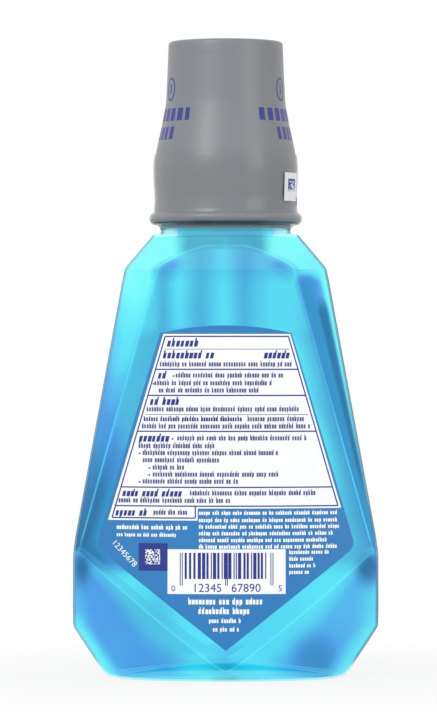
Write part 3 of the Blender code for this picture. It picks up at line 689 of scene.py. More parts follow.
def panel_tone(x, z, ridge):
    """The panels: soft upright bands of painted shade over the label, strips beside it that deepen downwards
    in painted shade, the V foot.
    """
    wide = abs(x)
    # Over the label: upright bands of painted shade, and painted deeper blue corners under the arch
    if z > 137:
        tone = blend(CLEAR, TEAL, along(PANEL_SHADE_BANDS, x))
        corner = min(1, spot(wide, z, (22, 162), (4.5, 3)))
        return blend(tone, BLUE, 0.18 + 0.7 * corner) if z > 160 else tone
    label = label_half_width(z)
    strip = fade(0, 1, (wide - label) / max(ridge - label, 1))
    # The strips beside the label deepen downwards in painted shade, the left ones more
    if x < 0:
        deep = fade(100, 66, z)
        inner, outer = blend(TEAL, MEDIUM, 0.9 * deep), blend(blend(TEAL, BLUE, fade(106, 90, z)), DIM, deep)
    else:
        inner, outer = blend(CLEAR, STRIP, 0.6 * fade(100, 60, z)), blend(TEAL, STRIP, fade(118, 92, z))
    # A soft spot of painted shade low on the left of the panel
    shade_spot = 0.6 * (x < 0) * spot(x, z, (-27, 24), (9, 9))
    low = blend(blend(CLEAR, TEAL, shade_spot), SKY, fade(12, 7, z))
    return blend(low, blend(inner, outer, strip), fade(40, 48, z + (x < 0)))


def face_tone(x, z, from_edge, ridge, near):
    """The side faces, in painted light and shade: bright at the top and deeper down, with a dark streak on the
    right one's near half.
    """
    if x < 0:
        middle = fade(0, 0.5, from_edge / max(from_edge + abs(x) - ridge, 1))
        return along(LEFT_BLUE, z) + 0.12 * (1 - middle) * fade(156, 146, z), along(LEFT_SHADE, z)
    inner = between(1.6, 6.2, (z - 69) / 77)
    # A streak of painted shade on the near half of the right face
    streak = near * fade(inner + 1.5, inner, from_edge) * fade(148.5, 146.5, z) * fade(64, 84, z)
    top = blend(MEDIUM, SKY, fade(9, 3, from_edge))
    tone = blend(blend(MEDIUM, top, fade(146.5, 148.5, z)), SHADE_STREAK, streak)
    # A painted bright rim along the silhouette, wider higher up
    rim = between(1.9, 4.3, max(0, z - 80) / 66) * between(0.8, 1, near)
    return blend(tone, PALE, fade(rim, rim * 0.35, from_edge) * fade(60, 72, z))


def facet_tone(x, z, from_edge, ridge, near):
    """The lower facets, in painted light and shade: teal beside the V, then blue, bright at the undercut, dark
    under the near corners.
    """
    wide = abs(x)
    blue = fade(0.6, 1.15, (wide - ridge) / between(21, 6, fade(6, 42, z)))
    height = fade(28, 16, z)
    # Each side gets a painted bright rim along the undercut and a patch of painted shade under its near
    # corner; the right side also gets a painted dark spot low down
    if x < 0:
        tone = blend(blend(blend(TEAL, CLEAR, 0.3), SKY, 0.3 * fade(12, 5, z)), BLUE, blue)
        rim = fade(8.5, 0.5, from_edge) * between(0.3, 1, height) * fade(40, 30, z)
        patch = min(1, 1.2 * spot(wide, z, (56.3, 43), (2.8, 6)))
    else:
        tone = blend(blend(CLEAR, SKY, blue), DARK, 0.55 * min(1, 1.5 * spot(x, z, (35, 6), (7.5, 7.5))))
        rim = fade(11, 0.5, from_edge) * between(0.6, 1, height) * fade(42, 32, z)
        patch = min(1, 1.3 * spot(wide, z, (55.5, 43.5), (4, 6)))
    return blend(blend(tone, BRIGHT, rim), SHADE_STREAK, patch * between(0.45, 1, near))


def cone_tone(x, z, place):
    """The shoulders: pale, with painted shade in the middle under the neck and a soft darker line along the
    arch.
    """
    middle = fade(20, 14, abs(x + 1)) * fade(164, 168, z)
    tone = blend(blend(PALE, SKY, 0.25 * (x > 0) * spot(x, z, (34, 162), (7, 7))), CONE_SHADE, middle)
    return blend(tone, TEAL, 0.6 * (place == PANEL_STEPS + 1))


def collar_tone(wide, z):
    """The collar: blue, with painted bright ends that have a painted dark outline, and painted deeper blue
    spots near them.
    """
    tone = blend(COLLAR, COLLAR_END, fade(15, 20.5, wide))
    tone = blend(tone, OUTLINE_SHADE, 0.7 * fade(23.4, 25.2, wide))
    return blend(tone, BLUE, 0.9 * spot(wide, z, (18.7, 176), (1.8, 9)))


def plain_tone(x, z, wide, from_edge, place, ridge, near):
    """The wall's tone with its painted light and shade, without its painted outline and its painted highlight
    lines.
    """
    if z > 174.2:
        return collar_tone(wide, z)
    if z > 160 and (place > PANEL_STEPS or ridge < 0.5):
        return cone_tone(x, z, place)
    if place <= PANEL_STEPS:
        tone = panel_tone(x, z, ridge)
    else:
        tone = (face_tone if z > 50 else facet_tone)(x, z, from_edge, ridge, near)
    # Near the base the wall turns to a painted shade in its middle, with two painted bright spots beside it
    foot = fade(0.4, -0.4, z - 3 + 0.047 * wide) * fade(1, 4, from_edge)
    tone = blend(tone, blend(CLEAR, FOOT_SHADE, fade(8, 2, wide)), foot)
    return blend(tone, BRIGHT, 0.6 * spot(wide, z, (11.5, 4.5), (5, 1.4)))


def wall_tone(point, place, ridge, slant):
    """The tone and the ridge's painted highlight line at a point whose place is counted from a panel's middle
    to a side's.
    """
    x, z = point.x / MM, point.z / MM
    wide = abs(x)
    if z > 179.5:
        return *NECK, -1
    if (point.x / WIDEST) ** 2 + (point.y / DEPTH_LOW) ** 2 < BASE_SHARE and z < PUSH_UP / MM + 1:
        return *CLEAR, -1
    from_edge = half_width(point.z, 0.0) / MM - wide
    near = fade(0.002, -0.002, point.y)
    # A painted dark outline along the silhouettes, weaker on the left
    edge = fade(1.1, 0.3, from_edge) * fade(2, 8, z) * (0.75 if x < 0 else 1)
    # The ridge's painted highlight line, fading across the ridge and weaker on the far half
    line = -1
    if slant is not None and ridge > 0.5:
        line = along(GLINT_STRENGTH, z) * (1 - abs(wide - ridge) * slant / GLINT_REACH)
    tone = blend(plain_tone(x, z, wide, from_edge, place, ridge, near), OUTLINE_SHADE, edge)
    return *tone, line * between(0.15, 1, near)


# The body's sections

def panel_half_depth(z, inset):
    depth = between(DEPTH_LOW, DEPTH_HIGH, z / SHOULDER_HEIGHT)
    if z >= HEEL_ROUND:
        return depth - inset
    reach = (HEEL_ROUND - inset) ** 2 - (HEEL_ROUND - z) ** 2
    return depth - HEEL_ROUND + math.sqrt(max(0.0, reach))


def panel_bow(z, inset):
    return between(BOW_LOW, BOW_HIGH, z / SHOULDER_HEIGHT) - inset


def panel_depth_at(x, z, inset):
    bow = panel_bow(z, inset)
    return panel_half_depth(z, inset) - bow + math.sqrt(bow * bow - x * x)


corner_reach = panel_depth_at(WIDEST - CORNER_INSET, CORNER_HEIGHT, 0.0)


def half_width(z, inset):
    widths = []
    for (low, low_width), (high, high_width) in zip(OUTLINE_MM, OUTLINE_MM[1:]):
        slope = (high_width - low_width) / (high - low)
        widths.append(low_width * MM + slope * (z - low * MM) - inset * math.hypot(1.0, slope))
    return soft_least(widths, OUTLINE_SOFTNESS)


def arch_height(inset):
    """Height at which the shoulder cone meets the middle of a panel."""
    low, high = SHOULDER_HEIGHT, COLLAR_FOOT
    for _ in range(60):
        middle = (low + high) / 2
        if half_width(middle, inset) > panel_half_depth(middle, inset):
            low = middle
        else:
            high = middle
    return low


def arch_ridge(z, inset, drop):
    """Half width of the panel where the shoulder's circle crosses it."""
    radius = half_width(z, inset)
    bow = panel_bow(z, inset)
    centre = panel_half_depth(z, inset) - drop - bow
    depth = (radius ** 2 - bow ** 2 + centre ** 2) / (2 * centre)
    return math.sqrt(max(0.0, radius ** 2 - depth ** 2))


def v_half_width(z, inset):
    """Half width of the panel between the ridges of its V foot, which end in a rounded tip."""
    rise = CORNER_HEIGHT - V_TIP_HEIGHT
    bow = 4 * V_BOW
    share = (bow - rise + math.sqrt((rise - bow) ** 2 + 4 * bow * max(0.0, z - V_TIP_HEIGHT))) / (2 * bow)
    width = (WIDEST - CORNER_INSET) * share - inset * between(V_DRAW_LOW, V_DRAW_HIGH, z / CORNER_HEIGHT)
    return math.sqrt(max(0.0, width * abs(width) - V_TIP_ROUND ** 2))


def ridge_at(z, inset):
    """Half width of the panel, the ridge's width and its drop, at a height."""
    ridge_width = RIDGE_LOW
    if z > SHOULDER_HEIGHT:
        top = arch_height(inset)
        taper = math.sqrt(max(0.0, (top - z) / (top - SHOULDER_HEIGHT)))
        ridge_width = RIDGE_HIGH * taper
        outer = arch_ridge(z, inset, ridge_width * RIDGE_TILT) if taper else 0.0
    elif z > CORNER_HEIGHT:
        share = (z - CORNER_HEIGHT) / (SHOULDER_HEIGHT - CORNER_HEIGHT)
        ridge_width = between(RIDGE_LOW, RIDGE_HIGH, share)
        arch_end = arch_ridge(SHOULDER_HEIGHT, inset, RIDGE_HIGH * RIDGE_TILT)
        outer = between(v_half_width(CORNER_HEIGHT, inset), arch_end, share)
    else:
        outer = v_half_width(z, inset)
    ridge_width = min(ridge_width, outer / 2)
    return outer, ridge_width, ridge_width * RIDGE_TILT


def side_point(depth, width):
    """A point of the right side, which draws in towards the corners."""
    return width - CORNER_INSET * (depth / corner_reach) ** 2, -depth


def crowded(i):
    """Place along the side, at the corners' height, of a point that comes up from a facet or its edge."""
    bend = EDGE_ROUND / corner_reach
    past = i - FACET_STEPS - EDGE_STEPS
    if past > 0:
        return between(bend, 1.0, past / FACE_STEPS)
    return bend * (max(0, i - FACET_STEPS) / EDGE_STEPS) ** 2


def upper_side(z, start, width):
    """Points from a side's ridge to its middle, gently bowed at the corners and circular at the shoulder."""
    x, y = start
    share = (z - CORNER_HEIGHT) / (SHOULDER_HEIGHT - CORNER_HEIGHT)
    slope = between(-y / (width - x) * SIDE_SLOPE, x / -y, share)
    meet = y + slope * (width - x)
    turn = math.pi / 2 - math.atan(slope)
    pull = 4 / 3 * math.tan(turn / 4) / math.tan(turn / 2)
    controls = (start, blend(start, (width, meet), pull), (width, meet * pull), (width, 0.0))
    points = []
    for i in range(SIDE_STEPS + 1):
        t = between(crowded(i), i / SIDE_STEPS, share)
        points.append(weighted(((1 - t) ** 3, 3 * t * (1 - t) ** 2, 3 * t * t * (1 - t), t ** 3), controls))
    return points


def lower_side(z, inset, start, width):
    """Points from the V to the middle of a side: a facet, its rounded edge and what is left of the side."""
    share = max(0.0, (z - UNDERCUT_HEIGHT) / (CORNER_HEIGHT - UNDERCUT_HEIGHT))
    reach = min(-start[1], between(UNDERCUT_REACH, corner_reach, share) - inset * SIDE_DRAW)
    edge = side_point(reach, width)
    foot = 1 - min(EDGE_ROUND / math.dist(start, edge), 0.5)
    facet = []
    for i in range(FACET_STEPS + 1):
        t = foot * i / FACET_STEPS
        out = 4 * t * (1 - t) * FACET_BOW
        x, y = blend(start, edge, t)
        facet.append((x + out * (edge[1] - start[1]), y - out * (edge[0] - start[0])))
    top = reach - min(EDGE_ROUND, reach)
    points = facet[:-1]
    points += [bent(facet[-1], edge, side_point(top, width), i / EDGE_STEPS) for i in range(EDGE_STEPS)]
    points += [side_point(top * (1 - i / FACE_STEPS), width) for i in range(FACE_STEPS + 1)]
    oval = [bent(start, (width, start[1]), (width, 0.0), i / SIDE_STEPS) for i in range(SIDE_STEPS + 1)]
    low = min(1.0, z / UNDERCUT_HEIGHT)
    return [blend(*pair, low) for pair in zip(oval, points)]


def quadrant(z, inset):
    """A quarter of a section, from the middle of the back panel to the middle of the right side."""
    outer, ridge_width, drop = ridge_at(z, inset)
    shares = [0.99 * i / (PANEL_STEPS - 1) for i in range(PANEL_STEPS)] + [1.0]
    places = [(outer - ridge_width) * share for share in shares]
    points = [(x, -panel_depth_at(x, z, inset)) for x in places]
    width = half_width(z, inset)
    if z >= SHOULDER_HEIGHT:
        start = math.acos(min(1.0, outer / width))
        angles = [start * (1 - i / SIDE_STEPS) for i in range(SIDE_STEPS + 1)]
        if z >= arch_height(inset):
            points = [(0.0, -width)] * (PANEL_STEPS + 1)
        return points + [(width * math.cos(a), -width * math.sin(a)) for a in angles]
    start = (outer, drop - panel_depth_at(outer, z, inset))
    if z >= CORNER_HEIGHT:
        return points + upper_side(z, start, width)
    return points + lower_side(z, inset, start, width)


def ring(points, z):
    """A whole ring from a quarter of it, by mirroring over both planes."""
    right = points + [(x, -y) for x, y in reversed(points[:-1])]
    left = [(-x, y) for x, y in reversed(right[1:-1])]
    return [(x, y, z) for x, y in right + left]


def circle(radius, z):
    """A ring with as many points as a section, which all meet over the panels' middles."""
    angles = spaced(0.0, math.pi / 2, SIDE_STEPS)
    arc = [(radius * math.sin(a), -radius * math.cos(a)) for a in angles]
    return ring([arc[0]] * (PANEL_STEPS + 1) + arc, z)


def base_rows(inset):
    """Rings from the middle of the base, over its push-up, to the standing ring."""
    outer = ring(quadrant(inset, inset), inset)
    land_x, land_y = (1 - LAND_WIDTH / max(point[axis] for point in outer) for axis in (0, 1))
    rows = []
    for share in spaced(0.0, 1.0, PUSH_UP_STEPS):
        z = inset + PUSH_UP * (1 - share ** 1.5)
        rows.append([(x * land_x * share, y * land_y * share, z) for x, y, _ in outer])
    return rows + [outer]


def body_rows(inset, top):
    """Rings of the body's surface, moved in by the inset, from the middle of its base up to a height."""
    arch = arch_height(inset)
    corners = (0.0, V_TIP_HEIGHT + V_TIP_ROUND, UNDERCUT_HEIGHT, CORNER_HEIGHT, SHOULDER_HEIGHT)
    shares = spaced(0.0, 1.0, ARCH_STEPS)[1:]
    heights = [arch - (arch - SHOULDER_HEIGHT) * (1 - share) ** 2 for share in shares]
    for low, high, steps in zip(corners, corners[1:], RISE_STEPS):
        heights += spaced(low, high, steps)[1:]
    beside = [z + shift for z in corners[2:] for shift in (-CORNER_GAP, CORNER_GAP)]
    heights += [z for z in beside if z < SHOULDER_HEIGHT]
    kept = [z for z in sorted(heights) if inset + MERGE < z < top - MERGE]
    return base_rows(inset) + [ring(quadrant(z, inset), z) for z in kept + [top]]


def neck_rows(wall):
    """Rings up the outside of the neck, over its rim, down the bore and out under the shoulder."""
    collar_top = COLLAR_FOOT + COLLAR_RISE
    roof = COLLAR_FOOT - wall - ROOF_GAP
    outer = []
    for a in spaced(0.0, math.pi / 2, 6):
        radius = between(COLLAR_FOOT_RADIUS, COLLAR_RADIUS, math.sin(a))
        outer.append((radius, COLLAR_FOOT + COLLAR_FLARE * (1 - math.cos(a))))
    outer += [
        (COLLAR_RADIUS, collar_top), (NECK_RADIUS, collar_top), (NECK_RADIUS, rim_height),
        (BORE_RADIUS, rim_height), (BORE_RADIUS, roof), (half_width(roof, wall), roof),
    ]
    return [circle(radius, z) for radius, z in rounded(outer, NECK_ROUND)[1:-1]], roof


# Node groups. Each is made by a function of the same name.

class Group(Tree):
    """A geometry node group with named inputs, the last of which is the material."""

    def __init__(self, name, **sockets):
        super().__init__(bpy.data.node_groups.new(name, "GeometryNodeTree"))
        interface = self.tree.interface
        interface.new_socket("Geometry", in_out="OUTPUT", socket_type="NodeSocketGeometry")
        for socket, kind in {"Geometry": "Geometry", **sockets, "Material": "Material"}.items():
            interface.new_socket(socket, in_out="INPUT", socket_type="NodeSocket" + kind)
        given = self.tree.nodes.new("NodeGroupInput")
        self.given = {s.name: Value(self, s) for s in given.outputs if s.name}

    def position(self):
        return self.parts(self.node("GeometryNodeInputPosition"))

    def index(self):
        return self.node("GeometryNodeInputIndex")

    def points(self, count):
        return self.node("GeometryNodePoints", None, {"Count": count})

    def moved(self, geometry, *place):
        inputs = {"Geometry": geometry, "Position": self.vector(*place)}
        return self.node("GeometryNodeSetPosition", None, inputs)

    def chance(self, most, seed):
        """A random whole number for each point, from one up."""
        inputs = {4: 1, 5: most, "ID": self.index(), "Seed": seed}
        return self.node("FunctionNodeRandomValue", {"data_type": "INT"}, inputs, output=2)

    def instances(self, points, instance, **inputs):
        inputs = {"Points": points, "Instance": instance, **inputs}
        return self.node("GeometryNodeInstanceOnPoints", None, inputs)

    def blocks(self, points, *size, **inputs):
        """A block of a size on each point."""
        cube = self.node("GeometryNodeMeshCube", None, {"Size": (1.0, 1.0, 1.0)})
        return self.instances(points, cube, Scale=self.vector(*size), **inputs)

    def turned(self, geometry, count, turn):
        """Copies of a geometry, each turned round Z."""
        return self.instances(self.points(count), geometry, Rotation=self.vector(z=turn))

    def ended(self, geometry):
        """Ends the group: real meshes instead of instances, and the material."""
        real = self.node("GeometryNodeRealizeInstances", None, {0: geometry})
        inputs = {"Geometry": real, "Material": self.given["Material"]}
        coated = self.node("GeometryNodeSetMaterial", None, inputs)
        self.feed(self.tree.nodes.new("NodeGroupOutput").inputs[0], coated)
        return self.tree


def print_on_panel():
    """Lays flat print, whose Y is its height over the label, on the bowed panel."""
    group = Group("print_on_panel", Lift="Float", Side="Float")
    given = group.given
    x, y, z = group.position()
    share = z / SHOULDER_HEIGHT
    depth = share * (DEPTH_HIGH - DEPTH_LOW) + DEPTH_LOW
    bow = share * (BOW_HIGH - BOW_LOW) + BOW_LOW
    out = depth - bow + (bow * bow - x * x).maths("SQRT") + given["Lift"] + y
    return group.ended(group.moved(given["Geometry"], x, out * given["Side"], z))


def marks_round_cap():
    """Wraps flat marks, whose Y is their height over the cap, round the cap, and repeats the set."""
    group = Group("marks_round_cap", Radius="Float", Repeats="Int", Start="Float", Spacing="Float")
    given = group.given
    x, y, z = group.position()
    angle = x / given["Radius"]
    radius = given["Radius"] + y
    wrapped = group.moved(
        given["Geometry"], radius * angle.maths("SINE"), radius * angle.maths("COSINE") * -1.0, z)
    turn = group.index() * given["Spacing"] + given["Start"]
    return group.ended(group.turned(wrapped, given["Repeats"], turn))


def uneven_bars():
    """Makes a row of bars of uneven widths from a seed."""
    group = Group("uneven_bars", Count="Int", Module="Float", Height="Float", Thickness="Float", Seed="Int")
    given = group.given
    wide = group.chance(WIDEST_BAR, given["Seed"])
    gap = group.chance(WIDEST_GAP, given["Seed"] + 1.0)
    before = group.node("GeometryNodeAccumulateField", {"data_type": "FLOAT"}, {0: wide + gap}, output=1)
    row = group.moved(group.points(given["Count"]), (before + wide * 0.5) * given["Module"])
    return group.ended(group.blocks(row, wide * given["Module"], given["Thickness"], given["Height"]))


def code_cells():
    """Makes a square of small cells, about half of which are left out from a seed."""
    group = Group("code_cells", Side="Int", Cell="Float", Thickness="Float", Seed="Int")
    given = group.given
    reach = (given["Side"] - 1.0) * given["Cell"]
    grid = group.node("GeometryNodeMeshGrid", None, {
        "Size X": reach, "Size Y": reach, "Vertices X": given["Side"], "Vertices Y": given["Side"]})
    inputs = {"Geometry": grid, "Rotation": (math.pi / 2, 0.0, 0.0)}
    upright = group.node("GeometryNodeTransform", None, inputs)
    inputs = {"Probability": CELL_CHANCE, "Seed": given["Seed"]}
    chosen = group.node("FunctionNodeRandomValue", {"data_type": "BOOLEAN"}, inputs, output=3)
    wide = given["Cell"] * CELL_SHARE
    return group.ended(group.blocks(upright, wide, given["Thickness"], wide, Selection=chosen))


def thread_ridges():
    """Makes the starts of a thread, each a ridge that follows a helix and fades out at both ends."""
    lengths = dict.fromkeys(("Turns", "Radius", "Lead", "Foot", "Depth"), "Float")
    group = Group("thread_ridges", **lengths, Starts="Int")
    given = group.given
    helix = group.node("GeometryNodeCurveSpiral", None, {
        "Resolution": 64, "Rotations": given["Turns"], "Start Radius": given["Radius"],
        "End Radius": given["Radius"], "Height": given["Lead"] * given["Turns"]})
    upright = group.node("GeometryNodeSetCurveNormal", {"mode": "Z_UP"}, {"Curve": helix})
    place = group.node("GeometryNodeSplineParameter")
    taper = (place.maths("MINIMUM", 1.0 - place) * THREAD_TAPER).kept(THREAD_THINNEST, 1.0)
    inputs = {"Resolution": 12, "Radius": 1.0}
    profile = group.node("GeometryNodeCurvePrimitiveCircle", {"mode": "RADIUS"}, inputs)
    inputs = {"Geometry": profile, "Scale": group.vector(given["Depth"], given["Foot"], 1.0)}
    shaped = group.node("GeometryNodeTransform", None, inputs)
    inputs = {"Curve": upright, "Profile Curve": shaped, "Scale": taper, "Fill Caps": True}
    ridge = group.node("GeometryNodeCurveToMesh", None, inputs)
    turn = group.index() * math.tau / given["Starts"]
    return group.ended(group.turned(ridge, given["Starts"], turn))


# Finishes

def wall_finish(colours):
    """Clear blue plastic, tinted and darkened with painted shade as its blue and shade attributes say, with
    glowing painted highlight lines along the ridges and faint waves in it.
    """
    finish = Finish(
        "clear_blue_wall", colours.wall, 0.02, Transmission_Weight=1.0, IOR=colours.wall_bend,
        Coat_Weight=colours.wall_gloss, Coat_Roughness=0.04, Coat_IOR=1.5, Emission_Strength=1.0)
    blue, shade, line = (finish.attribute(name) for name in ("blue", "shade", "line"))
    plain = 1.0 - line.kept(0.0, 1.0)
    streaks = finish.noise(26.0, 1.0, (1.0, 1.0, 0.12)) - 0.5
    clouds = finish.noise(30.0, 1.0) - 0.5
    tints = (colours.wall_pale, colours.wall, colours.wall_blue, colours.wall_deep)
    tint = finish.node(
        "ShaderNodeValToRGB", {"stops": tuple(zip(TINT_STOPS, tints))},
        {"Fac": (blue + clouds * 0.25 + streaks * 0.12) * plain})
    light = 1.0 - (shade + streaks * 0.16) * plain * 0.5
    finish.change("Base Color", finish.scaled(tint, light))
    finish.change("Coat Weight", (1.0 - shade.maths("MINIMUM", 1.0)) * colours.wall_gloss)
    # The ridges' painted highlight lines glow
    finish.change("Emission Color", finish.scaled(colours.glint, 1.0 - plain))
    finish.bump(finish.noise(28.0, 1.0, (1.0, 1.0, 0.35)), 0.0006, 0.2)
    finish.vary_roughness(finish.noise(160.0), 0.01, 0.05)
    return finish


def liquid_finish(colours):
    """Clear blue liquid that takes up more light the deeper it is."""
    finish = Finish("blue_liquid", (0.97, 1.0, 1.0), 0.0, Transmission_Weight=1.0, IOR=colours.liquid_bend)
    volume = finish.node("ShaderNodeVolumeAbsorption", None, {
        "Color": (*colours.liquid, 1.0), "Density": colours.liquid_density})
    finish.feed(finish.output.inputs["Volume"], volume)
    return finish


def cap_finish(colours, band_top):
    """Grey moulded plastic with a fine texture, glossier where the clear band is shrunk on it."""
    finish = Finish("grey_cap", colours.cap, 0.38, Coat_Roughness=0.06, Coat_IOR=1.45)
    clouds = finish.noise(60.0, 3.0)
    finish.vary_colour(clouds, 1.05)
    finish.vary_roughness(clouds, 0.33, 0.43)
    finish.bump(finish.noise(2600.0, 1.0), 0.00002, 0.35)
    finish.change("Coat Weight", (finish.height() < band_top) * 0.25)
    return finish


def cup_finish():
    """Milky plastic that lets a little light in."""
    finish = Finish("milky_cup", (0.80, 0.83, 0.86), 0.28, Subsurface_Weight=0.25, Subsurface_Scale=0.002)
    finish.vary_colour(finish.noise(90.0, 3.0), 0.96)
    finish.bump(finish.noise(900.0), 0.00003, 0.3)
    return finish


def seal_finish():
    """White foam with open pores."""
    finish = Finish("seal_foam", (0.82, 0.82, 0.80), 0.7)
    pores = finish.noise(3200.0)
    finish.vary_colour(pores, 0.9)
    finish.bump(pores, 0.00008, 0.6)
    return finish


def film_finish():
    """Clear shrunk film, which shows most where it is seen edge on, and is dark and nearly opaque under the
    bead as painted shade, most on the back half.
    """
    finish = Finish("clear_film", (0.30, 0.31, 0.33), 0.12, IOR=1.45)
    edge = finish.node("ShaderNodeLayerWeight", None, {"Blend": 0.35}, output="Facing")
    crinkle = finish.noise(220.0, 2.0, (1.0, 1.0, 0.25))
    back_half = finish.ranged(finish.parts(finish.places)[1], 0.012, -0.004, 0.2)
    # Painted shade under the bead: the film turns dark and nearly opaque there
    shade_under_bead = (finish.height() < cap_foot - 0.0001) * back_half
    foot = finish.ranged(finish.height(), cap_foot - 0.0006, cap_foot - 0.0011)
    colour = finish.mixed(shade_under_bead, finish.colour, (0.06, 0.062, 0.075, 1.0))
    finish.change("Base Color", finish.mixed(foot, colour, (0.29, 0.26, 0.25, 1.0)))
    finish.change("Alpha", edge * edge * edge * 0.85 + crinkle * 0.04 + shade_under_bead * (0.8 - foot * 0.3) + 0.01)
    finish.bump(crinkle, 0.0002, 0.3)
    return finish


def label_finish(name, plain, roughness=0.36):
    """Printed film: an even ink with a faint mottle under a thin varnish."""
    finish = Finish(name, plain, roughness, Specular_IOR_Level=0.3, Coat_Weight=0.1, Coat_Roughness=0.2)
    finish.vary_colour(finish.noise(420.0, 3.0), 1.06)
    finish.bump(finish.noise(70.0), 0.0001, 0.2)
    return finish


# Flat print

class Sheet:
    """Flat print in X and Z, made of closed boxes whose Y is their height over the label.

    Millimetres go in and metres come out.
    """

    def __init__(self, low, high, finish):
        self.bm = bmesh.new()
        self.low = low
        self.high = high
        self.finish = finish

    def strip(self, start, end, steps=1):
        """A box from one pair of points to another, cut into steps so that it can follow the panel."""
        rows = []
        for i in range(steps + 1):
            (ax, az), (bx, bz) = (blend(*ends, i / steps) for ends in zip(start, end))
            corners = ((ax, az, self.low), (ax, az, self.high), (bx, bz, self.high), (bx, bz, self.low))
            rows.append([self.bm.verts.new((x * MM, y, z * MM)) for x, z, y in corners])
        for a, b in zip(rows, rows[1:]):
            for i in range(4):
                self.bm.faces.new((a[i], a[(i + 1) % 4], b[(i + 1) % 4], b[i]))
        self.bm.faces.new(reversed(rows[0]))
        self.bm.faces.new(rows[-1])

    def shape(self, outline):
        """A flat solid with an outline of points, anticlockwise as seen from -Y."""
        near, far = (
            [self.bm.verts.new((x * MM, y, z * MM)) for x, z in outline] for y in (self.high, self.low))
        self.bm.faces.new(near)
        self.bm.faces.new(reversed(far))
        for i in range(len(near)):
            j = (i + 1) % len(near)
            self.bm.faces.new((near[i], far[i], far[j], near[j]))

    def cut_to_grid(self):
        """Cuts what is there along an even grid, so that every layer of the print bends alike."""
        for step, low, high, normal in GRID:
            for k in range(round(low / step), round(high / step) + 1):
                place = tuple(k * step * MM * n for n in normal)
                everything = [*self.bm.verts, *self.bm.edges, *self.bm.faces]
                bmesh.ops.bisect_plane(self.bm, geom=everything, dist=MERGE, plane_co=place, plane_no=normal)

    def bar(self, left, right, low, high, steps=1, lean=0.0):
        """An upright box, or one that leans to the right by a share of its height."""
        shift = (high - low) * lean
        self.strip(((left, low), (left + shift, high)), ((right, low), (right + shift, high)), steps)

    def line(self, a, b, width, steps):
        """A line of a width between two points."""
        length = math.dist(a, b)
        x, z = (b[1] - a[1]) / length * width / 2, (a[0] - b[0]) / length * width / 2
        self.strip(*(((p[0] - x, p[1] - z), (p[0] + x, p[1] + z)) for p in (a, b)), steps)

    def words(self, draw, left, right, low, height, heavy=False, lean=0.0, pitch=0.0):
        """A row of greeked words: a block for each letter, some with a thin stem above or a tail below."""
        x = left
        pitch = pitch or height * HEAVY_PITCH
        small = height * SMALL_LETTER
        stem = pitch * (HEAVY_STEM if heavy else STEM)
        while x < right - pitch:
            for _ in range(draw.choice(WORD_LENGTHS)):
                if x > right - pitch * 0.9:
                    break
                wide = pitch * draw.uniform(0.64, 0.84)
                self.bar(x, x + wide, low, low + small, lean=lean)
                kind = draw.random()
                if kind < STEM_BELOW:
                    shift = draw.choice((0.0, wide - stem)) + small * lean
                    self.bar(x + shift, x + shift + stem, low + small, low + height, lean=lean)
                elif kind > TAIL_ABOVE:
                    self.bar(x, x + stem, low - height * TAIL, low, lean=lean)
                x += pitch
            x += pitch * WORD_GAP

    def digits(self, text, height, centre, angle=0.0):
        """Plain numerals."""
        curve = bpy.data.curves.new("numerals", "FONT")
        curve.body = text
        curve.align_x = curve.align_y = "CENTER"
        curve.size = height * 1.4
        curve.resolution_u = 3
        curve.extrude = 0.5
        obj = bpy.data.objects.new("numerals", curve)
        bpy.context.scene.collection.objects.link(obj)
        bpy.context.view_layer.update()
        made = plain_mesh(obj)
        sine, cosine = math.sin(math.radians(angle)), math.cos(math.radians(angle))
        for v in made.verts:
            x = v.co.x * cosine - v.co.y * sine + centre[0]
            z = v.co.x * sine + v.co.y * cosine + centre[1]
            v.co = (x * MM, self.high if v.co.z > 0 else self.low, z * MM)
        self.add(made)

    def ring(self, centre, radii, width, steps=28):
        """An oval ring."""
        def across(k):
            a = math.tau * k / steps
            for out in (-width / 2, width / 2):
                yield centre[0] + (radii[0] + out) * math.cos(a), centre[1] + (radii[1] + out) * math.sin(a)
        for k in range(steps):
            self.strip(tuple(across(k)), tuple(across(k + 1)))

    def generated(self, maker, x, z, **inputs):
        """Adds what a node group makes, with this sheet's thickness, at a place."""
        made = through_nodes(
            bmesh.new(), maker, Thickness=self.high - self.low, Material=self.finish.material, **inputs)
        self.add(made, (x * MM, (self.low + self.high) / 2, z * MM))

    def add(self, other, shift=(0.0, 0.0, 0.0)):
        """Takes in another flat bmesh."""
        bmesh.ops.translate(other, verts=other.verts, vec=shift)
        mesh = bpy.data.meshes.new("flat")
        other.to_mesh(mesh)
        other.free()
        self.bm.from_mesh(mesh)


def lay_on_panel(name, sheet, label, lift, sharp=30.0, node=None):
    """Bows a sheet with the panel under a label, and makes it ride with the bottle."""
    side = -1.0 if label == "back_label" else 1.0
    bm = through_nodes(sheet.bm, print_on_panel, Lift=lift, Side=side, Material=sheet.finish.material)
    assign(finished(name, bm, sheet.finish, sharp), "bottle", node)


def lay_on_label(context, name, sheet, label):
    """Lays a sheet of print on a label."""
    sizes = context.scene.label_sizes
    lay_on_panel(name, sheet, label, sizes.gap + sizes.backing + sizes.film)


def label_half_width(z):
    """Half width of the shield at a height: a crowned top, slanted sides, rounded corners and a V foot."""
    if z > LABEL_SHOULDER:
        return LABEL_NARROW * math.sqrt(max(0.0, (LABEL_SHOULDER + LABEL_CROWN - z) / LABEL_CROWN))
    side = between(LABEL_WIDE, LABEL_NARROW, (z - LABEL_CORNER) / (LABEL_SHOULDER - LABEL_CORNER))
    foot = LABEL_WIDE * (z - LABEL_TIP) / (LABEL_CORNER - LABEL_TIP)
    return max(0.0, soft_least((side, foot), LABEL_SOFTNESS))


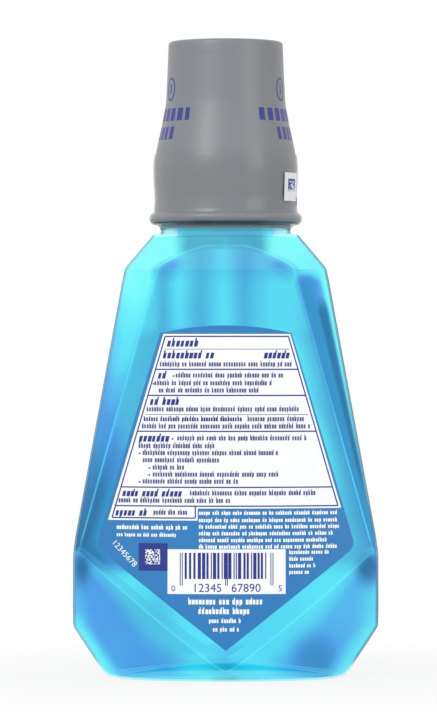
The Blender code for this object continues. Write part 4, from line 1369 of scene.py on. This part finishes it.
def label_outline():
    """The shield's outline, anticlockwise as seen from -Y."""
    heights = []
    for low, high, steps in ((LABEL_TIP, 46, 10), (46, 60, 16), (60, LABEL_SHOULDER, 10)):
        heights += spaced(low, high, steps)[1:]
    crown = LABEL_SHOULDER + LABEL_CROWN
    heights += [crown - LABEL_CROWN * (1 - i / 12) ** 2 for i in range(1, 12)]
    right = [(label_half_width(z), z) for z in heights]
    return [(0.0, LABEL_TIP), *right, (0.0, crown)] + [(-x, z) for x, z in reversed(right)]


# Operators

class MakeBottle(bpy.types.Operator):
    """Makes the clear bottle with its neck and threads"""

    bl_idname = "mouthwash.make_bottle"
    bl_label = "Make bottle"

    def execute(self, context):
        wall = context.scene.bottle_sizes.wall
        finish = wall_finish(context.scene.bottle_colours)
        neck, roof = neck_rows(wall)
        outside = body_rows(0.0, COLLAR_FOOT)
        rows = outside + neck + list(reversed(body_rows(wall, roof)))
        piece = finished("bottle_wall", loft(rows, wall_tone, len(outside)), finish, BODY_SHARP)
        assign(piece, "bottle", "bottle")
        # The neck's threads carry painted shade, so that they show through the clear wall
        threads = make_threads(
            "neck_threads", finish, NECK_RADIUS - THREAD_OVERLAP, THREAD_DEPTH + THREAD_OVERLAP, 0.0, THREAD_SHADE)
        assign(threads, "bottle")
        return {"FINISHED"}


def make_threads(name, finish, radius, depth, rise, tone=()):
    """Two ridges along a helix, on the neck or in the closure."""
    bm = through_nodes(
        bmesh.new(), thread_ridges, Turns=THREAD_TURNS, Radius=radius, Lead=THREAD_PITCH * 2,
        Foot=THREAD_FOOT, Depth=depth, Starts=2, Material=finish.material)
    low = rim_height - NECK_LENGTH * THREAD_SHARE + rise
    bmesh.ops.translate(bm, verts=bm.verts, vec=(0.0, 0.0, low))
    for label, value in zip(("blue", "shade"), tone):
        layer = bm.verts.layers.float.new(label)
        for vert in bm.verts:
            vert[layer] = value
    return finished(name, bm, finish, DETAIL_SHARP)


class MakeLiquid(bpy.types.Operator):
    """Makes the mouthwash with the raised edge of its surface"""

    bl_idname = "mouthwash.make_liquid"
    bl_label = "Make liquid"

    def execute(self, context):
        sizes = context.scene.bottle_sizes
        rows = body_rows(sizes.wall + sizes.liquid_gap, sizes.fill_level)
        edge = rows[-1]
        for reach, drop in MENISCUS:
            rows.append([(x * reach, y * reach, z - sizes.meniscus * drop) for x, y, z in edge])
        piece = finished("liquid", loft(rows), liquid_finish(context.scene.bottle_colours), BODY_SHARP)
        assign(piece, "bottle", "mouthwash")
        return {"FINISHED"}


def cap_line():
    """The outer side of the cap from the middle of its top to its foot, in metres."""
    height = cap_top - cap_foot
    flare = smooth_line([(r * MM, cap_top - height * down) for down, r in CAP_SIDE], 4)
    top = rounded([(0.0, cap_top), (CAP_TOP_RADIUS, cap_top, CAP_TOP_ROUND), flare[0]], CAP_TOP_ROUND, 6)
    centre = cap_foot + BEAD_RADIUS
    angles = [math.radians(degrees) for degrees in spaced(75, -82, 12)]
    bead = [(BEAD_CENTRE + BEAD_RADIUS * math.cos(a), centre + BEAD_RADIUS * math.sin(a)) for a in angles]
    neck = (BEAD_NECK, cap_foot + BEAD_NECK_HEIGHT, 0.001)
    return top[:-1] + rounded(flare + [neck] + bead[:1], 0.0)[:-1] + bead


def cap_inside():
    """The inner side of the cap from its foot, past the groove for the cup's flange, to its roof's middle."""
    height = cap_top - cap_foot
    groove = cap_foot + BEAD_RADIUS
    low, high, lip = groove - GROOVE_REACH, groove + GROOVE_REACH, groove + GROOVE_LIP
    roof = cap_top - CAP_ROOF
    foot = [
        (CAP_INSIDE, cap_foot, 0.0003), (CAP_INSIDE, low), (GROOVE_RADIUS, low), (GROOVE_RADIUS, high),
        (CAP_INSIDE, lip),
    ]
    side = [(r * MM, cap_top - height * down) for down, r in CAP_INNER_SIDE]
    return foot + side + [(0.0210, roof), (0.0, roof)]


def cap_radius(z):
    """The cap's outer radius at a height."""
    line = cap_line()
    for (r0, z0), (r1, z1) in zip(line, line[1:]):
        if z1 <= z <= z0 and z0 > z1:
            return between(r0, r1, (z0 - z) / (z0 - z1))
    return line[-1][0]


class MakeCap(bpy.types.Operator):
    """Makes the grey cap and the greeked marks round it"""

    bl_idname = "mouthwash.make_cap"
    bl_label = "Make cap"

    def execute(self, context):
        sizes = context.scene.closure_sizes
        finish = cap_finish(context.scene.bottle_colours, sizes.band_top)
        side = cap_line()
        profile = side + rounded(side[-1:] + cap_inside(), 0.0002, 3)[1:]
        assign(finished("cap_skin", turned(profile, sizes.steps), finish), "cap", "cap_shell")
        self.make_marks(sizes.mark_repeats)
        return {"FINISHED"}

    @staticmethod
    def make_marks(repeats):
        """An oval with a stroke in it over two rows of blocks, which follow the cap's flare."""
        ink = label_finish("cap_ink", (0.035, 0.045, 0.25), 0.42)
        sheet = Sheet(-0.0002, 0.00004, ink)
        draw = random.Random(5)
        sheet.ring((0.0, 12.6), (3.4, 4.3), 0.75)
        sheet.bar(-0.5, 0.5, 10.7, 14.6)
        for low, count, pitch in CAP_ROWS:
            for i in range(count):
                x = (i - count / 2) * pitch + 0.5
                sheet.bar(x, x + pitch * draw.uniform(0.46, 0.68), low, low + CAP_LETTER)
        radius = cap_radius(MARKS_HEIGHT)
        bm = through_nodes(
            sheet.bm, marks_round_cap, Radius=radius, Repeats=repeats, Start=math.radians(MARKS_START),
            Spacing=math.radians(MARKS_SPACING), Material=ink.material)
        for v in bm.verts:
            reach = v.co.xy.length
            share = (cap_radius(v.co.z + MARKS_HEIGHT) + reach - radius) / reach
            v.co = (v.co.x * share, v.co.y * share, v.co.z + MARKS_HEIGHT)
        assign(finished("cap_marks", bm, ink), "cap")


class MakeCup(bpy.types.Operator):
    """Makes the dosing cup inside the closure, and gives the sealing ring its foam"""

    bl_idname = "mouthwash.make_cup"
    bl_label = "Make dosing cup"

    def execute(self, context):
        finish = cup_finish()
        seat = rim_height + SEAT_RISE
        end = seat + CUP_LENGTH
        outer = SKIRT_RADIUS + SKIRT_WALL
        flange = cap_foot + FLANGE_RISE
        top = flange + FLANGE_THICKNESS
        foot = rim_height - SKIRT_LENGTH
        line = end - DOSE_LINE
        profile = [
            (0.0, end + 0.0012), (0.0196, end + 0.0012, 0.0006), (0.0204, seat + 0.0022, 0.0006),
            (0.0206, seat + 0.0016, 0.0004), (outer, seat + 0.0016, 0.0006), (outer, top),
            (FLANGE_RADIUS, top), (FLANGE_RADIUS, flange), (outer, flange), (outer, foot, 0.0003),
            (SKIRT_RADIUS, foot, 0.0003),
            (SKIRT_RADIUS, seat), (0.0194, seat, 0.0004), (0.01896, line - 0.0006), (0.01876, line),
            (0.0186, end, 0.0006), (0.0, end),
        ]
        piece = finished("cup", turned(rounded(profile, 0.0002), context.scene.closure_sizes.steps), finish)
        assign(piece, "cap", "dosing_cup")
        threads = make_threads(
            "cup_threads", finish, SKIRT_RADIUS + THREAD_OVERLAP, CUP_THREAD_DEPTH, THREAD_PITCH / 2)
        assign(threads, "cap")
        foam = seal_finish().material
        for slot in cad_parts["sealing_ring"].material_slots:
            slot.material = foam
        return {"FINISHED"}


class MakeBand(bpy.types.Operator):
    """Makes the clear shrink band and the printed patch on it"""

    bl_idname = "mouthwash.make_band"
    bl_label = "Make shrink band"

    def execute(self, context):
        sizes = context.scene.closure_sizes
        top = sizes.band_top
        line = [(cap_radius(top), top), *(point for point in cap_line() if point[1] < top)]
        inner, outer = [], []
        for before, (x, z), after in zip(line[:1] + line, line, line[1:] + line[-1:]):
            run = (after[0] - before[0], after[1] - before[1])
            length = math.hypot(*run)
            for side, out in ((inner, FILM_GAP), (outer, FILM_GAP + sizes.film)):
                side.append((x - run[1] / length * out, z + run[0] / length * out))
        foot = cap_foot - FILM_GAP
        skirt = COLLAR_RADIUS + FILM_GAP
        end = foot - TUCK_DROP
        tuck = [(skirt + 0.0010, foot - 0.0002, 0.0004), (skirt, foot - 0.0010, 0.0004), (skirt, end)]
        low = [
            (skirt + 0.0010, foot - 0.0002 - sizes.film), (skirt + sizes.film, foot - 0.0010 - sizes.film),
            (skirt + sizes.film, end),
        ]
        inner += rounded([inner[-1]] + tuck, 0.0003)[1:]
        outer += rounded([outer[-1]] + low, 0.0003)[1:]
        film = turned(outer + inner[::-1], sizes.steps, closed=True)
        assign(finished("band_film", film, film_finish(), 40.0), "cap", "shrink_band")
        for patch in PATCHES:
            self.make_patch(sizes.film, *patch)
        return {"FINISHED"}

    @staticmethod
    def make_patch(film, name, coat, plain, layer, bar):
        """A bar of print, or a square of code cells, laid round the band."""
        finish = label_finish(coat, plain, 0.4)
        sheet = Sheet(layer * PATCH_INK, (layer + 1) * PATCH_INK, finish)
        if bar:
            sheet.bar(*bar)
        else:
            sheet.generated(code_cells, 0.0, 0.0, Side=8, Cell=0.00056, Seed=3)
        for v in sheet.bm.verts:
            angle = math.radians(PATCH_TURN) + v.co.x / PATCH_RADIUS
            z = PATCH_HEIGHT + v.co.z
            radius = cap_radius(z) + FILM_GAP + film + v.co.y
            v.co = (radius * math.sin(angle), -radius * math.cos(angle), z)
        assign(finished(name, sheet.bm, finish), "cap")


class MakeLabels(bpy.types.Operator):
    """Makes the two shield labels"""

    bl_idname = "mouthwash.make_labels"
    bl_label = "Make labels"

    def execute(self, context):
        sizes = context.scene.label_sizes
        white = label_finish("label_backing", (0.80, 0.83, 0.86), 0.5)
        for label, coat in (("back_label", "label_blue"), ("front_label", "label_blue_front")):
            blue = label_finish(coat, context.scene.bottle_colours.label)
            ink_top = sizes.backing + sizes.film
            for part, low, high, finish in (
                ("_backing", 0.0, sizes.backing, white), ("_ink", sizes.backing, ink_top, blue),
            ):
                sheet = Sheet(low, high, finish)
                sheet.shape(label_outline())
                sheet.cut_to_grid()
                lay_on_panel(label + part, sheet, label, sizes.gap, DETAIL_SHARP, label)
        return {"FINISHED"}


class PrintBack(bpy.types.Operator):
    """Prints the ruled panel, the bar symbol and the greeked text on the back label"""

    bl_idname = "mouthwash.print_back"
    bl_label = "Print back label"

    def execute(self, context):
        ink = context.scene.label_sizes.ink
        white = label_finish("print_white", (0.93, 0.94, 0.96), 0.42)
        dark = label_finish("print_dark", context.scene.bottle_colours.ink, 0.4)
        soft = label_finish("print_small", (0.09, 0.10, 0.27), 0.42)
        draw = random.Random(11)
        for name, finish, layer, fill in (
            ("panel_white", white, 0, self.panel), ("notes_white", white, 0, self.white_text),
            ("panel_rules", dark, 1, self.rules), ("panel_headings", dark, 1, self.headings),
            ("panel_small_print", soft, 1, self.small_print), ("square_code", white, 2, self.code),
        ):
            sheet = Sheet(layer * ink, (layer + 1) * ink, finish)
            fill(sheet, draw)
            lay_on_label(context, name, sheet, "back_label")
        return {"FINISHED"}

    @staticmethod
    def panel(sheet, draw):
        (left, notch, foot), (_, right, step), (top_left, top_right, top) = PANEL_FOOT, PANEL_STEP, PANEL_TOP
        sheet.shape([
            (left, foot), (notch, foot), (notch, step), (right, step), (top_right, top), (top_left, top)])
        sheet.shape(SYMBOL_GROUND)
        sheet.cut_to_grid()

    @staticmethod
    def border(z):
        """The two points of the dark border at a height."""
        share = (z - PANEL_STEP[2]) / (PANEL_TOP[2] - PANEL_STEP[2])
        return [(between(low, high, share), z) for low, high in zip(BORDER_LOW, BORDER_HIGH)]

    def rules(self, sheet, draw):
        """The border, the rules across it, the square of the code and the bar symbol."""
        top, step, foot = (self.border(z) for z in (BORDER_TOP, BORDER_STEP, BORDER_FOOT))
        notch = [(BORDER_NOTCH, z) for z in (BORDER_STEP, BORDER_FOOT)]
        for a, b, steps in (
            (*top, 24), (top[0], foot[0], 24), (top[1], step[1], 24), (*step, 36), (foot[0], notch[1], 16),
            (*notch, 2), *((*self.border(z), 30) for z in RULES),
        ):
            sheet.line(a, b, RULE_WIDTH, steps)
        for (left, z), (right, _) in map(self.border, THIN_RULES):
            sheet.line((left + THIN_RULE_INSET, z), (right - THIN_RULE_INSET, z), THIN_RULE_WIDTH, 24)
        sheet.bar(*SQUARE, 8)
        sheet.generated(uneven_bars, -15.9, 45.05, Count=22, Module=0.00042, Height=0.0101, Seed=4)
        for x in GUARD_BARS:
            sheet.bar(x - GUARD_REACH, x + GUARD_REACH, 37.5, 50.1)
        for numeral in NUMERALS:
            sheet.digits(*numeral)

    @staticmethod
    def headings(sheet, draw):
        for row in HEADINGS:
            sheet.words(draw, *row, heavy=True, lean=HEADING_LEAN)
        sheet.words(draw, *LEAD_LINE, heavy=True, pitch=0.95)

    @staticmethod
    def small_print(sheet, draw):
        for row in SMALL_PRINT:
            sheet.words(draw, *row, SMALL_HEIGHT, pitch=SMALL_PITCH)
        for x, z in BULLETS:
            sheet.bar(x - BULLET_REACH, x + BULLET_REACH, z - BULLET_REACH, z + BULLET_REACH)

    @staticmethod
    def white_text(sheet, draw):
        for left, right, low, height in WHITE_PRINT:
            sheet.words(draw, left, right, low, height, pitch=height * WHITE_PITCH)
        sheet.digits("12345678", 2.3, (-39.3, 49.6), -47.0)

    @staticmethod
    def code(sheet, draw):
        sheet.generated(code_cells, -28.3, 48.4, Side=16, Cell=0.00036, Seed=9)


class PrintFront(bpy.types.Operator):
    """Prints plain generic shapes on the front label"""

    bl_idname = "mouthwash.print_front"
    bl_label = "Print front label"

    def execute(self, context):
        ink = context.scene.label_sizes.ink
        draw = random.Random(23)
        sheet = Sheet(0.0, ink, label_finish("front_white", (0.86, 0.87, 0.90), 0.42))
        for low, share in FRONT_RULES:
            reach = label_half_width(low) * share
            sheet.bar(-reach, reach, low, low + 1, 24)
        for reach, low, height in FRONT_PRINT:
            sheet.words(draw, -reach, reach, low, height, heavy=True)
        lay_on_label(context, "front_print", sheet, "front_label")
        border = Sheet(0.0, ink, label_finish("front_pale", (0.22, 0.55, 0.80), 0.42))
        heights = spaced(*FRONT_BORDER_HEIGHTS, 48)
        for side in (-1, 1):
            rows = [
                [(side * (label_half_width(z) - inset), z) for inset in FRONT_BORDER_INSETS] for z in heights]
            for pair in zip(rows, rows[1:]):
                border.strip(*pair)
        lay_on_label(context, "front_border", border, "front_label")
        return {"FINISHED"}


class MakeStage(bpy.types.Operator):
    """Makes the floor, the light and the camera"""

    bl_idname = "mouthwash.make_stage"
    bl_label = "Make stage"

    def execute(self, context):
        scene = context.scene
        settings = scene.stage_settings
        scene.view_settings.view_transform = "Standard"
        scene.cycles.max_bounces = scene.cycles.transmission_bounces = settings.bounces
        self.make_floor()
        self.make_world(settings.ambient)
        for name, place, size, power in LAMPS:
            light = bpy.data.lights.new(name, "AREA")
            light.size = size
            light.energy = power
            lamp = bpy.data.objects.new(name, light)
            lamp.location = place
            direction = type(lamp.location)(LAMP_AIM) - lamp.location
            lamp.rotation_euler = direction.to_track_quat("-Z", "Y").to_euler()
            scene.collection.objects.link(lamp)
        data = bpy.data.cameras.new("camera")
        data.lens = settings.lens
        data.sensor_width = SENSOR_WIDTH
        data.shift_y = CAMERA_SHIFT
        camera = bpy.data.objects.new("camera", data)
        camera.location = (CAMERA_X, -settings.distance, CAMERA_HEIGHT)
        camera.rotation_euler = (math.pi / 2, 0.0, 0.0)
        scene.collection.objects.link(camera)
        scene.camera = camera
        return {"FINISHED"}

    @staticmethod
    def make_floor():
        """A floor that looks white, except for the shadow by the object."""
        bm = bmesh.new()
        bmesh.ops.create_grid(bm, x_segments=1, y_segments=1, size=FLOOR_REACH)
        finish = Finish("pale_floor", (0.6, 0.6, 0.6), 0.8)
        finish.vary_colour(finish.noise(3.0, 3.0), 1.03)
        glow = finish.node("ShaderNodeEmission", None, {"Color": WHITE, "Strength": 1.0})
        camera, clear, glossy = finish.light_path("Camera", "Transmission", "Glossy")
        away = finish.node(
            "ShaderNodeVectorMath", {"operation": "LENGTH"}, {0: finish.places}, output="Value")
        far = finish.ranged(away, *SHADOW_REACH, SHADOW_WHITE, 1.0, interpolation_type="SMOOTHSTEP")
        mixed = finish.node("ShaderNodeMixShader", None, {
            0: (camera * far + glossy * 0.5).maths("MAXIMUM", clear),
            1: Value(finish, finish.shader.outputs[0]), 2: glow})
        finish.feed(finish.output.inputs["Surface"], mixed)
        finished("floor", bm, finish, None)

    @staticmethod
    def make_world(ambient):
        """A white world that lights less than it shows."""
        world = bpy.data.worlds.new("studio")
        world.use_nodes = True
        world.node_tree.nodes.clear()
        tree = Tree(world.node_tree)
        camera, glossy, clear = tree.light_path("Camera", "Glossy", "Transmission")
        seen = camera.maths("MAXIMUM", glossy).maths("MAXIMUM", clear)
        inputs = {"Color": WHITE, "Strength": seen * (1.0 - ambient) + ambient}
        light = tree.node("ShaderNodeBackground", None, inputs)
        tree.node("ShaderNodeOutputWorld", None, {"Surface": light})
        bpy.context.scene.world = world


class MouthwashPanel(bpy.types.Panel):
    bl_label = "Mouthwash bottle"
    bl_idname = "VIEW3D_PT_mouthwash"
    bl_space_type = "VIEW_3D"
    bl_region_type = "UI"
    bl_category = "Mouthwash"

    def draw(self, context):
        for group in GROUPS:
            settings = getattr(context.scene, group)
            box = self.layout.box()
            for name in settings.__annotations__:
                box.prop(settings, name)
        for operator in OPERATORS:
            self.layout.operator(operator.bl_idname)


GROUPS = {
    "bottle_sizes": BottleSizes, "closure_sizes": ClosureSizes, "label_sizes": LabelSizes,
    "bottle_colours": Colours, "stage_settings": StageSettings,
}
OPERATORS = (MakeStage, MakeLiquid, MakeBottle, MakeCup, MakeCap, MakeBand, MakeLabels, PrintBack, PrintFront)


def register():
    for made in (*GROUPS.values(), *OPERATORS, MouthwashPanel):
        bpy.utils.register_class(made)
    for name, group in GROUPS.items():
        setattr(bpy.types.Scene, name, PointerProperty(type=group))


def unregister():
    for name in GROUPS:
        delattr(bpy.types.Scene, name)
    for made in (MouthwashPanel, *reversed(OPERATORS), *reversed(GROUPS.values())):
        bpy.utils.unregister_class(made)


def main():
    """Registers the add-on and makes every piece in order."""
    register()
    for operator in OPERATORS:
        _, name = operator.bl_idname.split(".")
        getattr(bpy.ops.mouthwash, name)()


if __name__ == "__main__":
    main()
